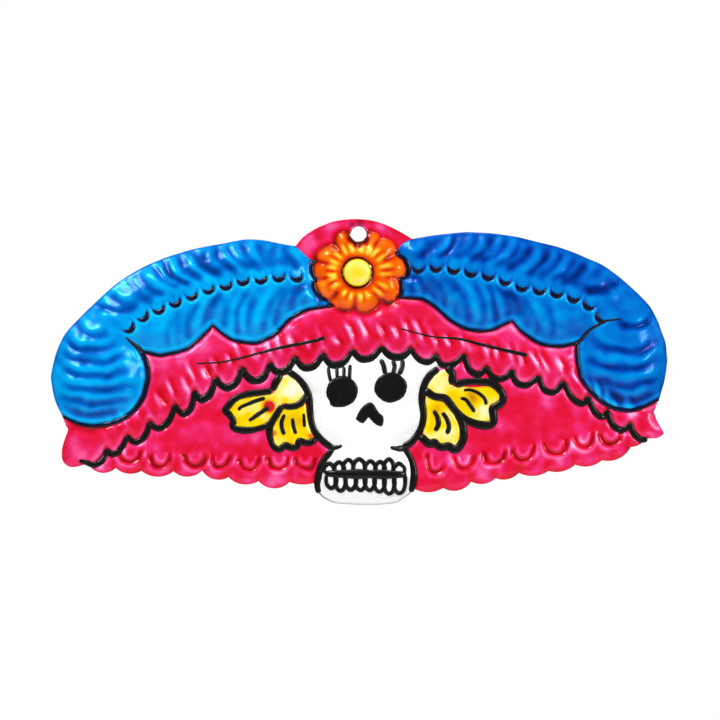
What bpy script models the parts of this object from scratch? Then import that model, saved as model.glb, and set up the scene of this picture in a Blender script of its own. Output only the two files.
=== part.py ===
"""Embossed tin catrina ornament: a wide plumed hat over a skull face, hung by one punched hole.

One thin tinplate sheet carries the relief. On its front lie the coats that the painter lays on in turn:
clear coloured lacquers, white and yellow fields, then the black line work. Each coat is its own solid.

Frame: +X to the right, +Z up, the front faces -Y. The origin is the centre of the hanging hole, on the plane
of the sheet's flat back. Lengths in this file are millimetres and are scaled to metres as meshes are made.
"""

import math

import bmesh
import bpy
from mathutils import Vector

MM = 0.001

# Driving dimensions.
SHEET_THICKNESS = 0.35
LACQUER_THICKNESS = 0.12
ENAMEL_THICKNESS = 0.25
COAT_GAP = 0.05  # between one layer and the next
FIELD_GAP = 0.3  # between two fields of one layer, down to the bare sheet
HOLE_RADIUS = 1.6
RELIEF_PITCH = 4.5  # spacing of the points that carry the relief
CURVE_STEP = 2.2  # longest straight piece of a curved outline
SAME_POINT = 0.02  # outline points nearer than this are one point
SHALLOWEST_MITRE = 0.5  # keeps an offset outline from spiking at a sharp corner
PRISM_HALF_DEPTH = 8.0
FLAT_ROUND_HOLE = 3.2  # the sheet stays flat this far from the hanging hole's centre

LACQUER_FRONT = SHEET_THICKNESS + COAT_GAP
LINE_FRONT = LACQUER_FRONT + LACQUER_THICKNESS + COAT_GAP

# Places that several outlines share, as (x, z).
LEFT_CROWN_END = (-12.9, -2.5)
RIGHT_CROWN_END = (11.0, -1.1)
LEFT_LOBE_FOOT = (-61.2, -37.7)
RIGHT_LOBE_FOOT = (61.5, -34.0)
LEFT_CURL = (-44.7, -24.3)
RIGHT_CURL = (45.2, -22.7)
LEFT_FLAP_END = (-55.4, -47.3)
RIGHT_FLAP_END = (59.2, -42.3)
LEFT_JAW_FOOT = (-9.2, -51.9)
RIGHT_JAW_FOOT = (11.4, -52.7)
LEFT_CHEEK_END = (-5.2, -44.0)
RIGHT_CHEEK_END = (9.6, -43.9)

FLOWER_CENTRE = (-0.25, -8.05)
BOSS_RADIUS = 2.8
# Each petal runs from one valley to the next, round its own tip. Angle in degrees, then radius.
PETAL_VALLEYS = [(92, 7.5), (60, 8.4), (27, 8.5), (-10, 8.4), (-50, 7.3), (-93, 7.2), (-137, 8.2)]
PETAL_VALLEYS += [(-170, 8.4), (-197, 8.6), (-228, 7.4)]
PETAL_TIPS = [(75, 9.4), (44, 10.0), (6, 10.4), (-28, 10.2), (-73, 8.8), (-114, 8.5), (-156, 9.6)]
PETAL_TIPS += [(-183, 9.4), (-213, 9.2), (-249, 9.3)]

# The brim's ruffled edge hangs between these points. So does the hem of the veil, further down.
BRIM_CUSPS = [(-55.4, -47.3), (-52.0, -44.5), (-47.7, -41.8), (-42.8, -39.0), (-37.8, -35.6), (-33.8, -32.6)]
BRIM_CUSPS += [(-29.6, -29.8), (-24.0, -27.7), (-18.3, -26.8), (-13.0, -25.6), (-7.2, -24.8), (-1.2, -23.9)]
BRIM_CUSPS += [(4.7, -23.2), (10.6, -23.8), (16.0, -24.8), (21.6, -25.2), (26.6, -27.6), (31.6, -28.3)]
BRIM_CUSPS += [(36.8, -29.7), (42.0, -31.0), (47.1, -33.7), (51.3, -36.8), (55.9, -39.2), (59.2, -42.3)]
BRIM_SAG = 0.4  # how deep an arc hangs, as a share of the distance between its two cusps
LEFT_HEM = [LEFT_JAW_FOOT, (-14.0, -51.2), (-20.8, -51.0), (-26.8, -50.2), (-32.2, -48.9), (-38.0, -48.8)]
LEFT_HEM += [(-44.5, -48.9), (-50.1, -48.1), LEFT_FLAP_END]
RIGHT_HEM = [RIGHT_FLAP_END, (55.8, -44.1), (50.0, -46.6), (44.6, -47.5), (39.0, -48.8), (33.0, -49.3)]
RIGHT_HEM += [(28.2, -50.3), (23.2, -50.9), (17.5, -52.15), RIGHT_JAW_FOOT]
HEM_SAG = 0.18

LEFT_EYE = (-3.45, -32.4)
RIGHT_EYE = (6.55, -31.7)
EYE_RADIUS = 3.2

# Widths of the painted lines. A line with two widths tapers from the first to the second.
HEAVY_LINE = 0.9
PLUME_LINE = 0.6
CURL_LINE = 0.8
CREASE_LINE = (0.5, 0.25)
LEAF_VEIN = 0.5
HOOK_LINE = 0.6
LEFT_LASH, RIGHT_LASH = 0.5, 0.7
FINE_TIP = 0.3
EARRING_LINE_INSIDE, EARRING_LINE_OUTSIDE = 0.2, 0.8  # how far it reaches over and past a leaf's edge

# The teeth: a black band with one row of rounded windows above its middle and one below.
TEETH_LEFT, TEETH_RIGHT, TEETH_COUNT = -6.9, 9.6, 8
TEETH_PITCH = (TEETH_RIGHT - TEETH_LEFT) / TEETH_COUNT
GUM_TOP, GUM_BOTTOM = -47.4, -52.4
GUM_RISE, GUM_SAG = 1.0, 0.4
TOOTH_LINE_HALF = 0.42
UPPER_WINDOW = {"crown": -47.0, "shoulder": -47.9, "root": -49.2}
LOWER_WINDOW = {"crown": -52.6, "shoulder": -51.9, "root": -50.3, "narrowing": 0.7}

COLOURS = {
    "tinplate": ((0.62, 0.62, 0.6), 0.28, 1.0),
    "pink_lacquer": ((0.86, 0.01, 0.13), 0.2, 0.35),
    "blue_lacquer": ((0.0, 0.24, 0.78), 0.2, 0.35),
    "orange_lacquer": ((0.95, 0.16, 0.0), 0.2, 0.35),
    "yellow_lacquer": ((0.98, 0.72, 0.02), 0.2, 0.2),
    "white_enamel": ((0.86, 0.86, 0.85), 0.3, 0.0),
    "black_enamel": ((0.012, 0.012, 0.012), 0.25, 0.0),
    "navy_lacquer": ((0.004, 0.01, 0.09), 0.2, 0.1),
}


# ---- Outlines: lists of (x, z) -------------------------------------------------------------------------


def smooth(points):
    """A curve through the points, in pieces no longer than CURVE_STEP."""
    ends = [points[0], *points, points[-1]]
    curve = [points[0]]
    for before, start, end, after in zip(ends, ends[1:], ends[2:], ends[3:]):
        steps = max(1, math.ceil(math.dist(start, end) / CURVE_STEP))
        for step in range(1, steps + 1):
            t = step / steps
            weights = (
                -0.5 * t + t * t - 0.5 * t**3,
                1 - 2.5 * t * t + 1.5 * t**3,
                0.5 * t + 2 * t * t - 1.5 * t**3,
                0.5 * (t**3 - t * t),
            )
            four = (before, start, end, after)
            curve.append(tuple(sum(w * p[k] for w, p in zip(weights, four)) for k in (0, 1)))
    return curve


def arc(start, middle, end, steps=4):
    """Points on the circle through three points, from start to end."""
    (ax, az), (bx, bz), (cx, cz) = start, middle, end
    d = 2 * (ax * (bz - cz) + bx * (cz - az) + cx * (az - bz))
    a, b, c = ax * ax + az * az, bx * bx + bz * bz, cx * cx + cz * cz
    x = (a * (bz - cz) + b * (cz - az) + c * (az - bz)) / d
    z = (a * (cx - bx) + b * (ax - cx) + c * (bx - ax)) / d
    radius = math.dist((x, z), start)
    first = math.atan2(az - z, ax - x)
    turn = (math.atan2(cz - z, cx - x) - first) % math.tau
    if (math.atan2(bz - z, bx - x) - first) % math.tau > turn:
        turn -= math.tau
    angles = [first + turn * step / steps for step in range(steps + 1)]
    return [(x + radius * math.cos(angle), z + radius * math.sin(angle)) for angle in angles]


def ring(centre, radius, sides=24):
    turns = [math.tau * side / sides for side in range(sides)]
    return [(centre[0] + radius * math.cos(t), centre[1] + radius * math.sin(t)) for t in turns]


def hanging_arcs(cusps, sag, steps=3):
    """A row of arcs from cusp to cusp. Each hangs below their middle by a share of their distance."""
    row = [cusps[0]]
    for start, end in zip(cusps, cusps[1:]):
        lowest = ((start[0] + end[0]) / 2, (start[1] + end[1]) / 2 - sag * math.dist(start, end))
        row += arc(start, lowest, end, steps)[1:]
    return row


def joined(*stretches):
    """One closed outline from stretches that follow each other, with repeated points dropped."""
    outline = []
    for stretch in stretches:
        for point in stretch:
            if not outline or math.dist(point, outline[-1]) > SAME_POINT:
                outline.append(point)
    if math.dist(outline[0], outline[-1]) < SAME_POINT:
        outline.pop()
    return outline


def inset(outline, distance):
    """The outline moved inwards by distance, or outwards if that is negative."""
    following = outline[1:] + outline[:1]
    turning = sum(a[0] * b[1] - b[0] * a[1] for a, b in zip(outline, following))
    side = 1 if turning > 0 else -1
    moved = []
    for before, here, after in zip(outline[-1:] + outline[:-1], outline, following):
        into = Vector(here) - Vector(before)
        out = Vector(after) - Vector(here)
        normals = [Vector((-d.y, d.x)).normalized() * side for d in (into, out)]
        middle = (normals[0] + normals[1]).normalized()
        reach = distance / max(SHALLOWEST_MITRE, middle.dot(normals[0]))
        moved.append(tuple(Vector(here) + middle * reach))
    return moved


def band(path, width, start_width=None):
    """The outline of a painted line along a path, tapering from start_width to width if that is given."""
    start_width = width if start_width is None else start_width
    left, right = [], []
    for i, here in enumerate(path):
        along = Vector(path[min(i + 1, len(path) - 1)]) - Vector(path[max(i - 1, 0)])
        across = Vector((-along.y, along.x)).normalized()
        half = (start_width + (width - start_width) * i / (len(path) - 1)) / 2
        left.append(Vector(here) + across * half)
        right.append(Vector(here) - across * half)
    tip = Vector(path[-1]) + (Vector(path[-1]) - Vector(path[-2])).normalized() * width / 2
    tail = Vector(path[0]) + (Vector(path[0]) - Vector(path[1])).normalized() * start_width / 2
    return [tuple(p) for p in [tail, *left, tip, *reversed(right)]]


def stroke(points, width, start_width=None):
    return band(smooth(points), width, start_width)


def petal(number, steps=3):
    """One petal's edge, clockwise. Petal 0 starts at the hanging hole."""
    def place(polar):
        angle = math.radians(polar[0])
        return (
            FLOWER_CENTRE[0] + polar[1] * math.cos(angle),
            FLOWER_CENTRE[1] + polar[1] * math.sin(angle),
        )

    start, end = PETAL_VALLEYS[number], PETAL_VALLEYS[(number + 1) % len(PETAL_VALLEYS)]
    return arc(place(start), place(PETAL_TIPS[number]), place(end), steps)


def petals(first, last):
    return joined(*[petal(number % len(PETAL_TIPS)) for number in range(first, last + 1)])


# ---- The ornament's own edges ---------------------------------------------------------------------------

CROWN_EDGE = smooth(
    [LEFT_CROWN_END, (-10.0, 0.7), (-5.0, 2.6), (-0.5, 3.1), (5.0, 2.1), (8.0, 0.7), RIGHT_CROWN_END]
)
RIGHT_PLUME_EDGE = smooth(
    [RIGHT_CROWN_END, (14.0, -0.65), (22.5, 0.35), (28.0, 0.0), (35.0, -1.05), (45.0, -4.15), (50.0, -6.4)]
    + [(55.0, -9.9), (60.0, -14.9), (62.4, -20.0), (63.4, -26.0), (62.9, -30.0), RIGHT_LOBE_FOOT]
)
LEFT_PLUME_EDGE = smooth(
    [LEFT_LOBE_FOOT, (-62.8, -33.0), (-63.4, -29.0), (-62.4, -24.6), (-60.0, -20.0), (-55.0, -14.9)]
    + [(-50.0, -10.3), (-45.0, -7.2), (-40.0, -4.9), (-30.0, -2.1), (-22.7, -1.1), (-17.5, -1.65)]
    + [LEFT_CROWN_END]
)
RIGHT_FLAP = smooth([RIGHT_LOBE_FOOT, (60.9, -36.7)]) + smooth([(60.9, -36.7), (62.0, -38.9), (62.8, -41.0)])
RIGHT_FLAP += smooth([(62.8, -41.0), (61.3, -41.9), RIGHT_FLAP_END])
LEFT_FLAP = smooth(
    [LEFT_FLAP_END, (-58.2, -48.0), (-60.8, -46.7), (-61.0, -44.2), (-60.1, -40.4), LEFT_LOBE_FOOT]
)
CHIN = smooth(
    [RIGHT_JAW_FOOT, (10.2, -53.9), (8.0, -55.1), (4.5, -55.7), (0.0, -55.75), (-4.0, -55.4), (-7.0, -54.4)]
    + [LEFT_JAW_FOOT]
)

LEFT_LOBE = smooth(
    [LEFT_LOBE_FOOT, (-58.0, -38.95), (-54.3, -39.3), (-50.5, -38.6), (-47.2, -36.9), (-44.8, -34.0)]
    + [(-43.7, -30.5), (-43.7, -27.5), LEFT_CURL]
)
LEFT_UNDER_PLUME = smooth([LEFT_CURL, (-40.5, -24.75), (-36.5, -24.1), (-33.0, -21.7), (-30.0, -18.7)])
LEFT_UNDER_PLUME += smooth(
    [(-30.0, -18.7), (-27.0, -21.2), (-23.0, -22.45), (-19.0, -21.8), (-15.7, -19.5), (-12.9, -16.9)]
    + [(-10.0, -15.6), (-6.2, -15.35)]
)[1:]
RIGHT_UNDER_PLUME = smooth(
    [(9.2, -13.4), (12.5, -13.6), (15.2, -14.7), (18.5, -17.4), (21.8, -19.3), (25.2, -20.0), (28.5, -19.6)]
    + [(31.6, -18.1)]
)
RIGHT_UNDER_PLUME += smooth([(31.6, -18.1), (34.2, -20.8), (37.2, -22.6), (40.8, -23.15), RIGHT_CURL])[1:]
RIGHT_LOBE = smooth(
    [RIGHT_CURL, (44.8, -25.5), (45.6, -29.5), (47.8, -33.3), (51.3, -35.6), (55.3, -36.2), (58.8, -35.6)]
    + [RIGHT_LOBE_FOOT]
)
LEFT_CHEEK = smooth(
    [(-14.8, -28.4), (-12.6, -29.3), (-10.9, -31.6), (-10.0, -34.5), (-9.8, -37.5), (-8.9, -40.0)]
    + [(-7.2, -42.3), LEFT_CHEEK_END]
)
LEFT_JAW = smooth([LEFT_CHEEK_END, (-7.2, -46.0), (-8.3, -48.6), (-8.6, -50.6), LEFT_JAW_FOOT])
RIGHT_CHEEK = smooth(
    [(17.3, -27.6), (15.2, -29.2), (13.6, -31.8), (13.0, -34.5), (13.3, -37.3), (12.7, -40.3), (11.3, -42.4)]
    + [RIGHT_CHEEK_END]
)
RIGHT_JAW = smooth([RIGHT_CHEEK_END, (11.0, -46.0), (11.6, -49.0), (11.6, -51.0), RIGHT_JAW_FOOT])

# The ruffled edge, cut where the skull begins and ends under it.
RUFFLE = hanging_arcs(BRIM_CUSPS, BRIM_SAG)
RUFFLE_LEFT = [p for p in RUFFLE if p[0] < LEFT_CHEEK[0][0]]
RUFFLE_MIDDLE = [p for p in RUFFLE if LEFT_CHEEK[0][0] < p[0] < RIGHT_CHEEK[0][0]]
RUFFLE_RIGHT = [p for p in RUFFLE if p[0] > RIGHT_CHEEK[0][0]]

LEFT_EARRING_UPPER = joined(
    smooth([(-14.6, -28.9), (-12.6, -30.2), (-11.4, -32.3), (-12.2, -34.2), (-14.0, -35.2), (-15.8, -34.9)]),
    smooth(
        [(-15.8, -34.9), (-17.0, -36.8), (-18.7, -39.0), (-21.5, -40.2), (-25.0, -40.1), (-25.8, -39.2)]
        + [(-25.6, -37.8), (-27.0, -36.9), (-27.1, -35.8), (-25.0, -34.3), (-21.0, -33.0), (-17.5, -32.5)]
    ),
    smooth([(-17.5, -32.5), (-17.0, -30.8), (-16.0, -29.4), (-14.6, -28.9)]),
)
LEFT_EARRING_LOWER = joined(
    smooth([(-15.9, -36.0), (-14.2, -36.3), (-12.4, -35.6), (-11.0, -34.6)]),
    smooth([(-11.0, -34.6), (-10.6, -37.0), (-10.1, -39.6), (-9.4, -41.4), (-10.5, -42.5), (-12.0, -42.1)]),
    smooth([(-12.0, -42.1), (-12.9, -43.3), (-14.4, -43.5), (-15.3, -43.1), (-16.3, -44.1), (-17.6, -43.2)]),
    smooth([(-17.6, -43.2), (-18.1, -41.0), (-17.6, -38.8), (-15.9, -36.0)]),
)
RIGHT_EARRING_UPPER = joined(
    smooth([(17.5, -28.2), (18.6, -28.9), (19.1, -30.6), (20.3, -31.0)]),
    smooth([(20.3, -31.0), (25.5, -31.0), (28.2, -32.2), (29.3, -33.9), (28.8, -35.1), (27.4, -35.6)]),
    smooth([(27.4, -35.6), (27.8, -37.5), (27.0, -39.0), (24.3, -39.0), (21.7, -38.0), (20.0, -36.3)]),
    smooth(
        [(20.0, -36.3), (18.2, -33.8), (15.9, -33.1), (14.6, -31.9), (14.8, -30.4), (16.0, -29.3)]
        + [(17.5, -28.2)]
    ),
)
RIGHT_EARRING_LOWER = joined(
    smooth([(14.0, -33.6), (15.7, -34.5), (17.5, -35.1), (19.3, -37.2), (20.7, -39.5), (20.9, -42.3)]),
    smooth([(20.9, -42.3), (19.8, -43.8), (18.4, -43.5), (17.2, -43.8), (15.8, -43.0), (14.6, -43.0)]),
    smooth([(14.6, -43.0), (13.6, -41.5), (13.9, -38.5), (14.2, -36.0), (14.0, -33.6)]),
)

CROWN_BORDER_LEFT = [petal(7)[-1], (-9.9, -5.2), LEFT_CROWN_END]
CROWN_BORDER_RIGHT = [RIGHT_CROWN_END, (9.0, -2.0), petal(1)[-1]]

SILHOUETTE = joined(
    CROWN_EDGE,
    RIGHT_PLUME_EDGE,
    RIGHT_FLAP,
    hanging_arcs(RIGHT_HEM, HEM_SAG),
    CHIN,
    hanging_arcs(LEFT_HEM, HEM_SAG),
    LEFT_FLAP,
    LEFT_PLUME_EDGE,
)
FLOWER = petals(0, 9)
CROWN = joined(CROWN_EDGE, CROWN_BORDER_RIGHT, petals(0, 1)[::-1], petals(8, 9)[::-1], CROWN_BORDER_LEFT)
LEFT_PLUME = joined(
    LEFT_PLUME_EDGE, CROWN_BORDER_LEFT[::-1], petals(6, 7)[::-1], LEFT_UNDER_PLUME[::-1], LEFT_LOBE[::-1]
)
RIGHT_PLUME = joined(
    RIGHT_PLUME_EDGE,
    RIGHT_LOBE[::-1],
    RIGHT_UNDER_PLUME[::-1],
    petal(3)[:2][::-1],
    petal(2)[::-1],
    CROWN_BORDER_RIGHT[::-1],
)
BRIM = joined(
    LEFT_FLAP,
    LEFT_LOBE,
    LEFT_UNDER_PLUME,
    petals(4, 5)[::-1],
    petal(3)[1:][::-1],
    RIGHT_UNDER_PLUME,
    RIGHT_LOBE,
    RIGHT_FLAP,
    RUFFLE[::-1],
)
SKULL = joined(RUFFLE_MIDDLE, RIGHT_CHEEK, RIGHT_JAW, CHIN, LEFT_JAW[::-1], LEFT_CHEEK[::-1])
LEFT_VEIL = joined(RUFFLE_LEFT, LEFT_CHEEK, LEFT_JAW, hanging_arcs(LEFT_HEM, HEM_SAG))
RIGHT_VEIL = joined(RUFFLE_RIGHT, hanging_arcs(RIGHT_HEM, HEM_SAG), RIGHT_JAW[::-1], RIGHT_CHEEK[::-1])

# How far each field stands up from the flat sheet, and how wide its rounded border is.
RAISED_FIELDS = [
    (LEFT_PLUME, 2.3, 6.0),
    (RIGHT_PLUME, 2.3, 6.0),
    (FLOWER, 1.6, 2.6),
    (BRIM, 1.3, 3.0),
    (SKULL, 1.3, 4.0),
    (LEFT_VEIL, 0.8, 2.5),
    (RIGHT_VEIL, 0.8, 2.5),
]
# Rounded swellings on top of the fields: centre, radius, height.
SWELLINGS = [((-53.3, -30.6), 9.5, 1.0), ((54.2, -27.8), 9.5, 1.0), (FLOWER_CENTRE, 4.0, 0.9)]


def contains(outline, x, z):
    inside = False
    for (ax, az), (bx, bz) in zip(outline, outline[1:] + outline[:1]):
        if (az > z) != (bz > z) and x < ax + (z - az) * (bx - ax) / (bz - az):
            inside = not inside
    return inside


def edge_distance(outline, x, z):
    nearest = math.inf
    for (ax, az), (bx, bz) in zip(outline, outline[1:] + outline[:1]):
        dx, dz = bx - ax, bz - az
        t = max(0, min(1, ((x - ax) * dx + (z - az) * dz) / (dx * dx + dz * dz)))
        nearest = min(nearest, math.hypot(x - ax - t * dx, z - az - t * dz))
    return nearest


def relief(x, z, known={}):
    """Height of the sheet's front above its flat level at (x, z)."""
    if (x, z) not in known:
        height = 0
        for outline, raised, border in RAISED_FIELDS:
            if contains(outline, x, z):
                share = min(1, edge_distance(outline, x, z) / border)
                height = raised * math.sqrt(1 - (1 - share) ** 2)
                break
        if height:
            for centre, radius, raised in SWELLINGS:
                share = min(1, math.dist(centre, (x, z)) / radius)
                height += raised * (1 - share * share) ** 2
        known[(x, z)] = height if math.hypot(x, z) > FLAT_ROUND_HOLE else 0
    return known[(x, z)]


# ---- Solids ---------------------------------------------------------------------------------------------


def link(obj, collection):
    collection.objects.link(obj)
    return obj


def prism(outlines, name="cutter"):
    """A straight prism along Y through the whole ornament. Outlines inside others are holes."""
    curve = bpy.data.curves.new(name, "CURVE")
    curve.dimensions = "2D"
    curve.fill_mode = "BOTH"
    curve.extrude = PRISM_HALF_DEPTH * MM
    for outline in outlines:
        spline = curve.splines.new("POLY")
        spline.points.add(len(outline) - 1)
        spline.use_cyclic_u = True
        for point, (x, z) in zip(spline.points, outline):
            point.co = (x * MM, z * MM, 0, 1)
    drawn = link(bpy.data.objects.new(name, curve), cutters)
    drawn.rotation_euler.x = math.pi / 2
    bpy.context.view_layer.update()
    mesh = bpy.data.meshes.new_from_object(drawn.evaluated_get(bpy.context.evaluated_depsgraph_get()))
    closing = bmesh.new()
    closing.from_mesh(mesh)
    bmesh.ops.remove_doubles(closing, verts=closing.verts, dist=1e-7)
    bmesh.ops.recalc_face_normals(closing, faces=closing.faces)
    closing.to_mesh(mesh)
    closing.free()
    made = link(bpy.data.objects.new(name, mesh), cutters)
    made.matrix_world = drawn.matrix_world
    bpy.data.objects.remove(drawn)
    made.hide_render = True
    made.display_type = "WIRE"
    return made


def round_cutter(centre, radius, sides=24):
    """A cylinder along Y."""
    mesh = bpy.data.meshes.new("round_cutter")
    shape = bmesh.new()
    bmesh.ops.create_cone(
        shape,
        cap_ends=True,
        segments=sides,
        radius1=radius * MM,
        radius2=radius * MM,
        depth=2 * PRISM_HALF_DEPTH * MM,
    )
    shape.to_mesh(mesh)
    shape.free()
    made = link(bpy.data.objects.new("round_cutter", mesh), cutters)
    made.rotation_euler.x = math.pi / 2
    made.location = (centre[0] * MM, 0, centre[1] * MM)
    made.hide_render = True
    made.display_type = "WIRE"
    return made


def combine(obj, operation, other):
    boolean = obj.modifiers.new(operation.lower(), "BOOLEAN")
    boolean.operation = operation
    boolean.object = other


def relief_slab(name, outline, back, thickness):
    """A slab that follows the relief under an outline, from back above the sheet's flat back, forwards."""
    low_x, high_x = (pick(x for x, _ in outline) for pick in (min, max))
    low_z, high_z = (pick(z for _, z in outline) for pick in (min, max))
    first_x, last_x = math.floor(low_x / RELIEF_PITCH) - 1, math.ceil(high_x / RELIEF_PITCH) + 1
    first_z, last_z = math.floor(low_z / RELIEF_PITCH) - 1, math.ceil(high_z / RELIEF_PITCH) + 1
    shape = bmesh.new()
    bmesh.ops.create_grid(shape, x_segments=last_x - first_x, y_segments=last_z - first_z, size=0.5)
    bmesh.ops.triangulate(shape, faces=shape.faces, quad_method="FIXED")
    for vert in shape.verts:
        column = round((vert.co.x + 0.5) * (last_x - first_x)) + first_x
        row = round((vert.co.y + 0.5) * (last_z - first_z)) + first_z
        x, z = column * RELIEF_PITCH, row * RELIEF_PITCH
        vert.co = (x * MM, -(back + relief(x, z)) * MM, z * MM)
    front = bmesh.ops.extrude_face_region(shape, geom=shape.faces[:])["geom"]
    moved = [element for element in front if isinstance(element, bmesh.types.BMVert)]
    bmesh.ops.translate(shape, verts=moved, vec=(0, -thickness * MM, 0))
    bmesh.ops.recalc_face_normals(shape, faces=shape.faces)
    mesh = bpy.data.meshes.new(name)
    shape.to_mesh(mesh)
    shape.free()
    return link(bpy.data.objects.new(name, mesh), parts)


def coat(name, colour, outlines, back=LACQUER_FRONT, thickness=LACQUER_THICKNESS, cut=(), join=()):
    """One coat of paint on the relief: the outlines' prism, with others joined to it and cut from it."""
    slab = relief_slab(name, sum([*outlines, *join], []), back, thickness)
    area = prism(outlines, name + "_field")
    for other in join:
        combine(area, "UNION", prism([other]))
    combine(slab, "INTERSECT", area)
    for other in cut:
        combine(slab, "DIFFERENCE", other)
    slab.data.materials.append(materials[colour])
    slab.parent = ornament
    return slab


def field(name, colour, outline, cut=()):
    """A field of lacquer, kept back from its neighbours and from the sheet's edge."""
    return coat(name, colour, [inset(outline, FIELD_GAP / 2)], cut=cut)


def line(name, outlines, cut=(), join=(), colour="black_enamel"):
    return coat(name, colour, outlines, LINE_FRONT, ENAMEL_THICKNESS, cut, join)


# ---- Sub-parts ------------------------------------------------------------------------------------------


def build_tin_sheet():
    hole = round_cutter((0, 0), HOLE_RADIUS)
    coat("tin_sheet", "tinplate", [SILHOUETTE], back=0, thickness=SHEET_THICKNESS, cut=[hole])


def build_hat():
    hole = round_cutter((0, 0), HOLE_RADIUS + FIELD_GAP / 2)
    boss = round_cutter(FLOWER_CENTRE, BOSS_RADIUS + FIELD_GAP)
    field("crown_lacquer", "pink_lacquer", CROWN, [hole])
    field("left_plume_lacquer", "blue_lacquer", LEFT_PLUME)
    field("right_plume_lacquer", "blue_lacquer", RIGHT_PLUME)
    field("flower_petals_lacquer", "orange_lacquer", FLOWER, [hole, boss])
    field("flower_centre_lacquer", "yellow_lacquer", ring(FLOWER_CENTRE, BOSS_RADIUS + FIELD_GAP / 2))
    field("brim_lacquer", "pink_lacquer", BRIM)


def build_veil_and_skull():
    left = [prism([inset(shape, -FIELD_GAP / 2)]) for shape in (LEFT_EARRING_UPPER, LEFT_EARRING_LOWER)]
    right = [prism([inset(shape, -FIELD_GAP / 2)]) for shape in (RIGHT_EARRING_UPPER, RIGHT_EARRING_LOWER)]
    field("left_veil_lacquer", "pink_lacquer", LEFT_VEIL, left)
    field("right_veil_lacquer", "pink_lacquer", RIGHT_VEIL, right)
    field("skull_enamel", "white_enamel", SKULL, left + right)


def build_earrings():
    field("left_earring_upper_lacquer", "yellow_lacquer", LEFT_EARRING_UPPER)
    field("left_earring_lower_lacquer", "yellow_lacquer", LEFT_EARRING_LOWER)
    field("right_earring_upper_lacquer", "yellow_lacquer", RIGHT_EARRING_UPPER)
    field("right_earring_lower_lacquer", "yellow_lacquer", RIGHT_EARRING_LOWER)


def beside_ruffle():
    """What keeps another line FIELD_GAP away from the brim's edge line."""
    return prism([band(RUFFLE, HEAVY_LINE + 2 * FIELD_GAP)])


def build_outlines():
    """The heavy black lines. A line that meets another stops FIELD_GAP short of it."""
    near = beside_ruffle()
    line("brim_edge_line", [band(RUFFLE, HEAVY_LINE)])
    cheeks = {}
    for side, cheek, jaw, hook in (
        ("left", LEFT_CHEEK, LEFT_JAW, [LEFT_CHEEK_END, (-3.6, -43.7)]),
        ("right", RIGHT_CHEEK, RIGHT_JAW, [RIGHT_CHEEK_END, (8.0, -44.2), (6.6, -43.9)]),
    ):
        join = [band(jaw[:-1], HEAVY_LINE), stroke(hook, HOOK_LINE)]
        line(f"{side}_cheek_line", [band(cheek, HEAVY_LINE)], [near], join)
        cheeks[side] = [prism([band(edge, HEAVY_LINE + 2 * FIELD_GAP)]) for edge in (cheek, jaw)]
    for side, shapes in (
        ("left", (LEFT_EARRING_UPPER, LEFT_EARRING_LOWER)),
        ("right", (RIGHT_EARRING_UPPER, RIGHT_EARRING_LOWER)),
    ):
        windows = [prism([inset(shape, EARRING_LINE_INSIDE)]) for shape in shapes]
        upper, lower = (inset(shape, -EARRING_LINE_OUTSIDE) for shape in shapes)
        line(f"{side}_earring_line", [upper], [*windows, *cheeks[side], near], [lower])


def build_plume_lines():
    near = beside_ruffle()
    for side, under, lobe, tip in (
        ("left", LEFT_UNDER_PLUME[:-2], LEFT_LOBE[::-1], [LEFT_CURL, (-47.6, -21.4)]),
        ("right", RIGHT_UNDER_PLUME[::-1][:-1], RIGHT_LOBE, [RIGHT_CURL, (48.0, -19.4), (53.5, -17.6)]),
    ):
        curl = band(lobe[:-1], CURL_LINE)
        join = [band(under, PLUME_LINE), stroke(tip, FINE_TIP, CURL_LINE)]
        line(f"{side}_plume_line", [curl], [near], join, "navy_lacquer")
    left_crease = [(-34.0, -26.8), (-25.0, -25.6), (-15.0, -23.2), (-7.2, -21.5)]
    right_crease = [(9.0, -19.6), (15.0, -21.1), (25.0, -22.9), (34.3, -24.8)]
    line("left_crease_line", [stroke(left_crease, *CREASE_LINE)])
    line("right_crease_line", [stroke(right_crease, *CREASE_LINE)])


def build_face():
    left_lashes = [[(-5.9, -27.9), (-5.3, -30.5)], [(-4.6, -27.7), (-4.1, -30.0)]]
    left_lashes += [[(-3.1, -27.6), (-2.9, -30.0)], [(-1.8, -27.0), (-1.9, -30.4)]]
    right_lashes = [[(4.5, -25.9), (5.3, -27.2), (5.5, -29.3)], [(7.2, -26.3), (7.6, -27.4), (7.1, -29.2)]]
    right_lashes += [[(9.1, -26.1), (9.1, -27.3), (8.3, -29.3)]]
    near = beside_ruffle()
    left_lashes = [stroke(lash, LEFT_LASH) for lash in left_lashes]
    right_lashes = [stroke(lash, RIGHT_LASH) for lash in right_lashes]
    line("left_eye_and_lashes", [ring(LEFT_EYE, EYE_RADIUS)], [near], left_lashes)
    line("right_eye_and_lashes", [ring(RIGHT_EYE, EYE_RADIUS)], [near], right_lashes)
    nose = smooth([(2.3, -34.5), (1.2, -35.1), (0.2, -36.5), (-0.8, -38.3), (0.6, -39.0), (2.0, -37.9)])
    nose += smooth(
        [(2.0, -37.9), (3.1, -39.1), (4.5, -39.7), (5.2, -38.4), (4.6, -36.9), (3.3, -35.1), (2.3, -34.5)]
    )
    line("nose_line", [joined(nose)])


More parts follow.
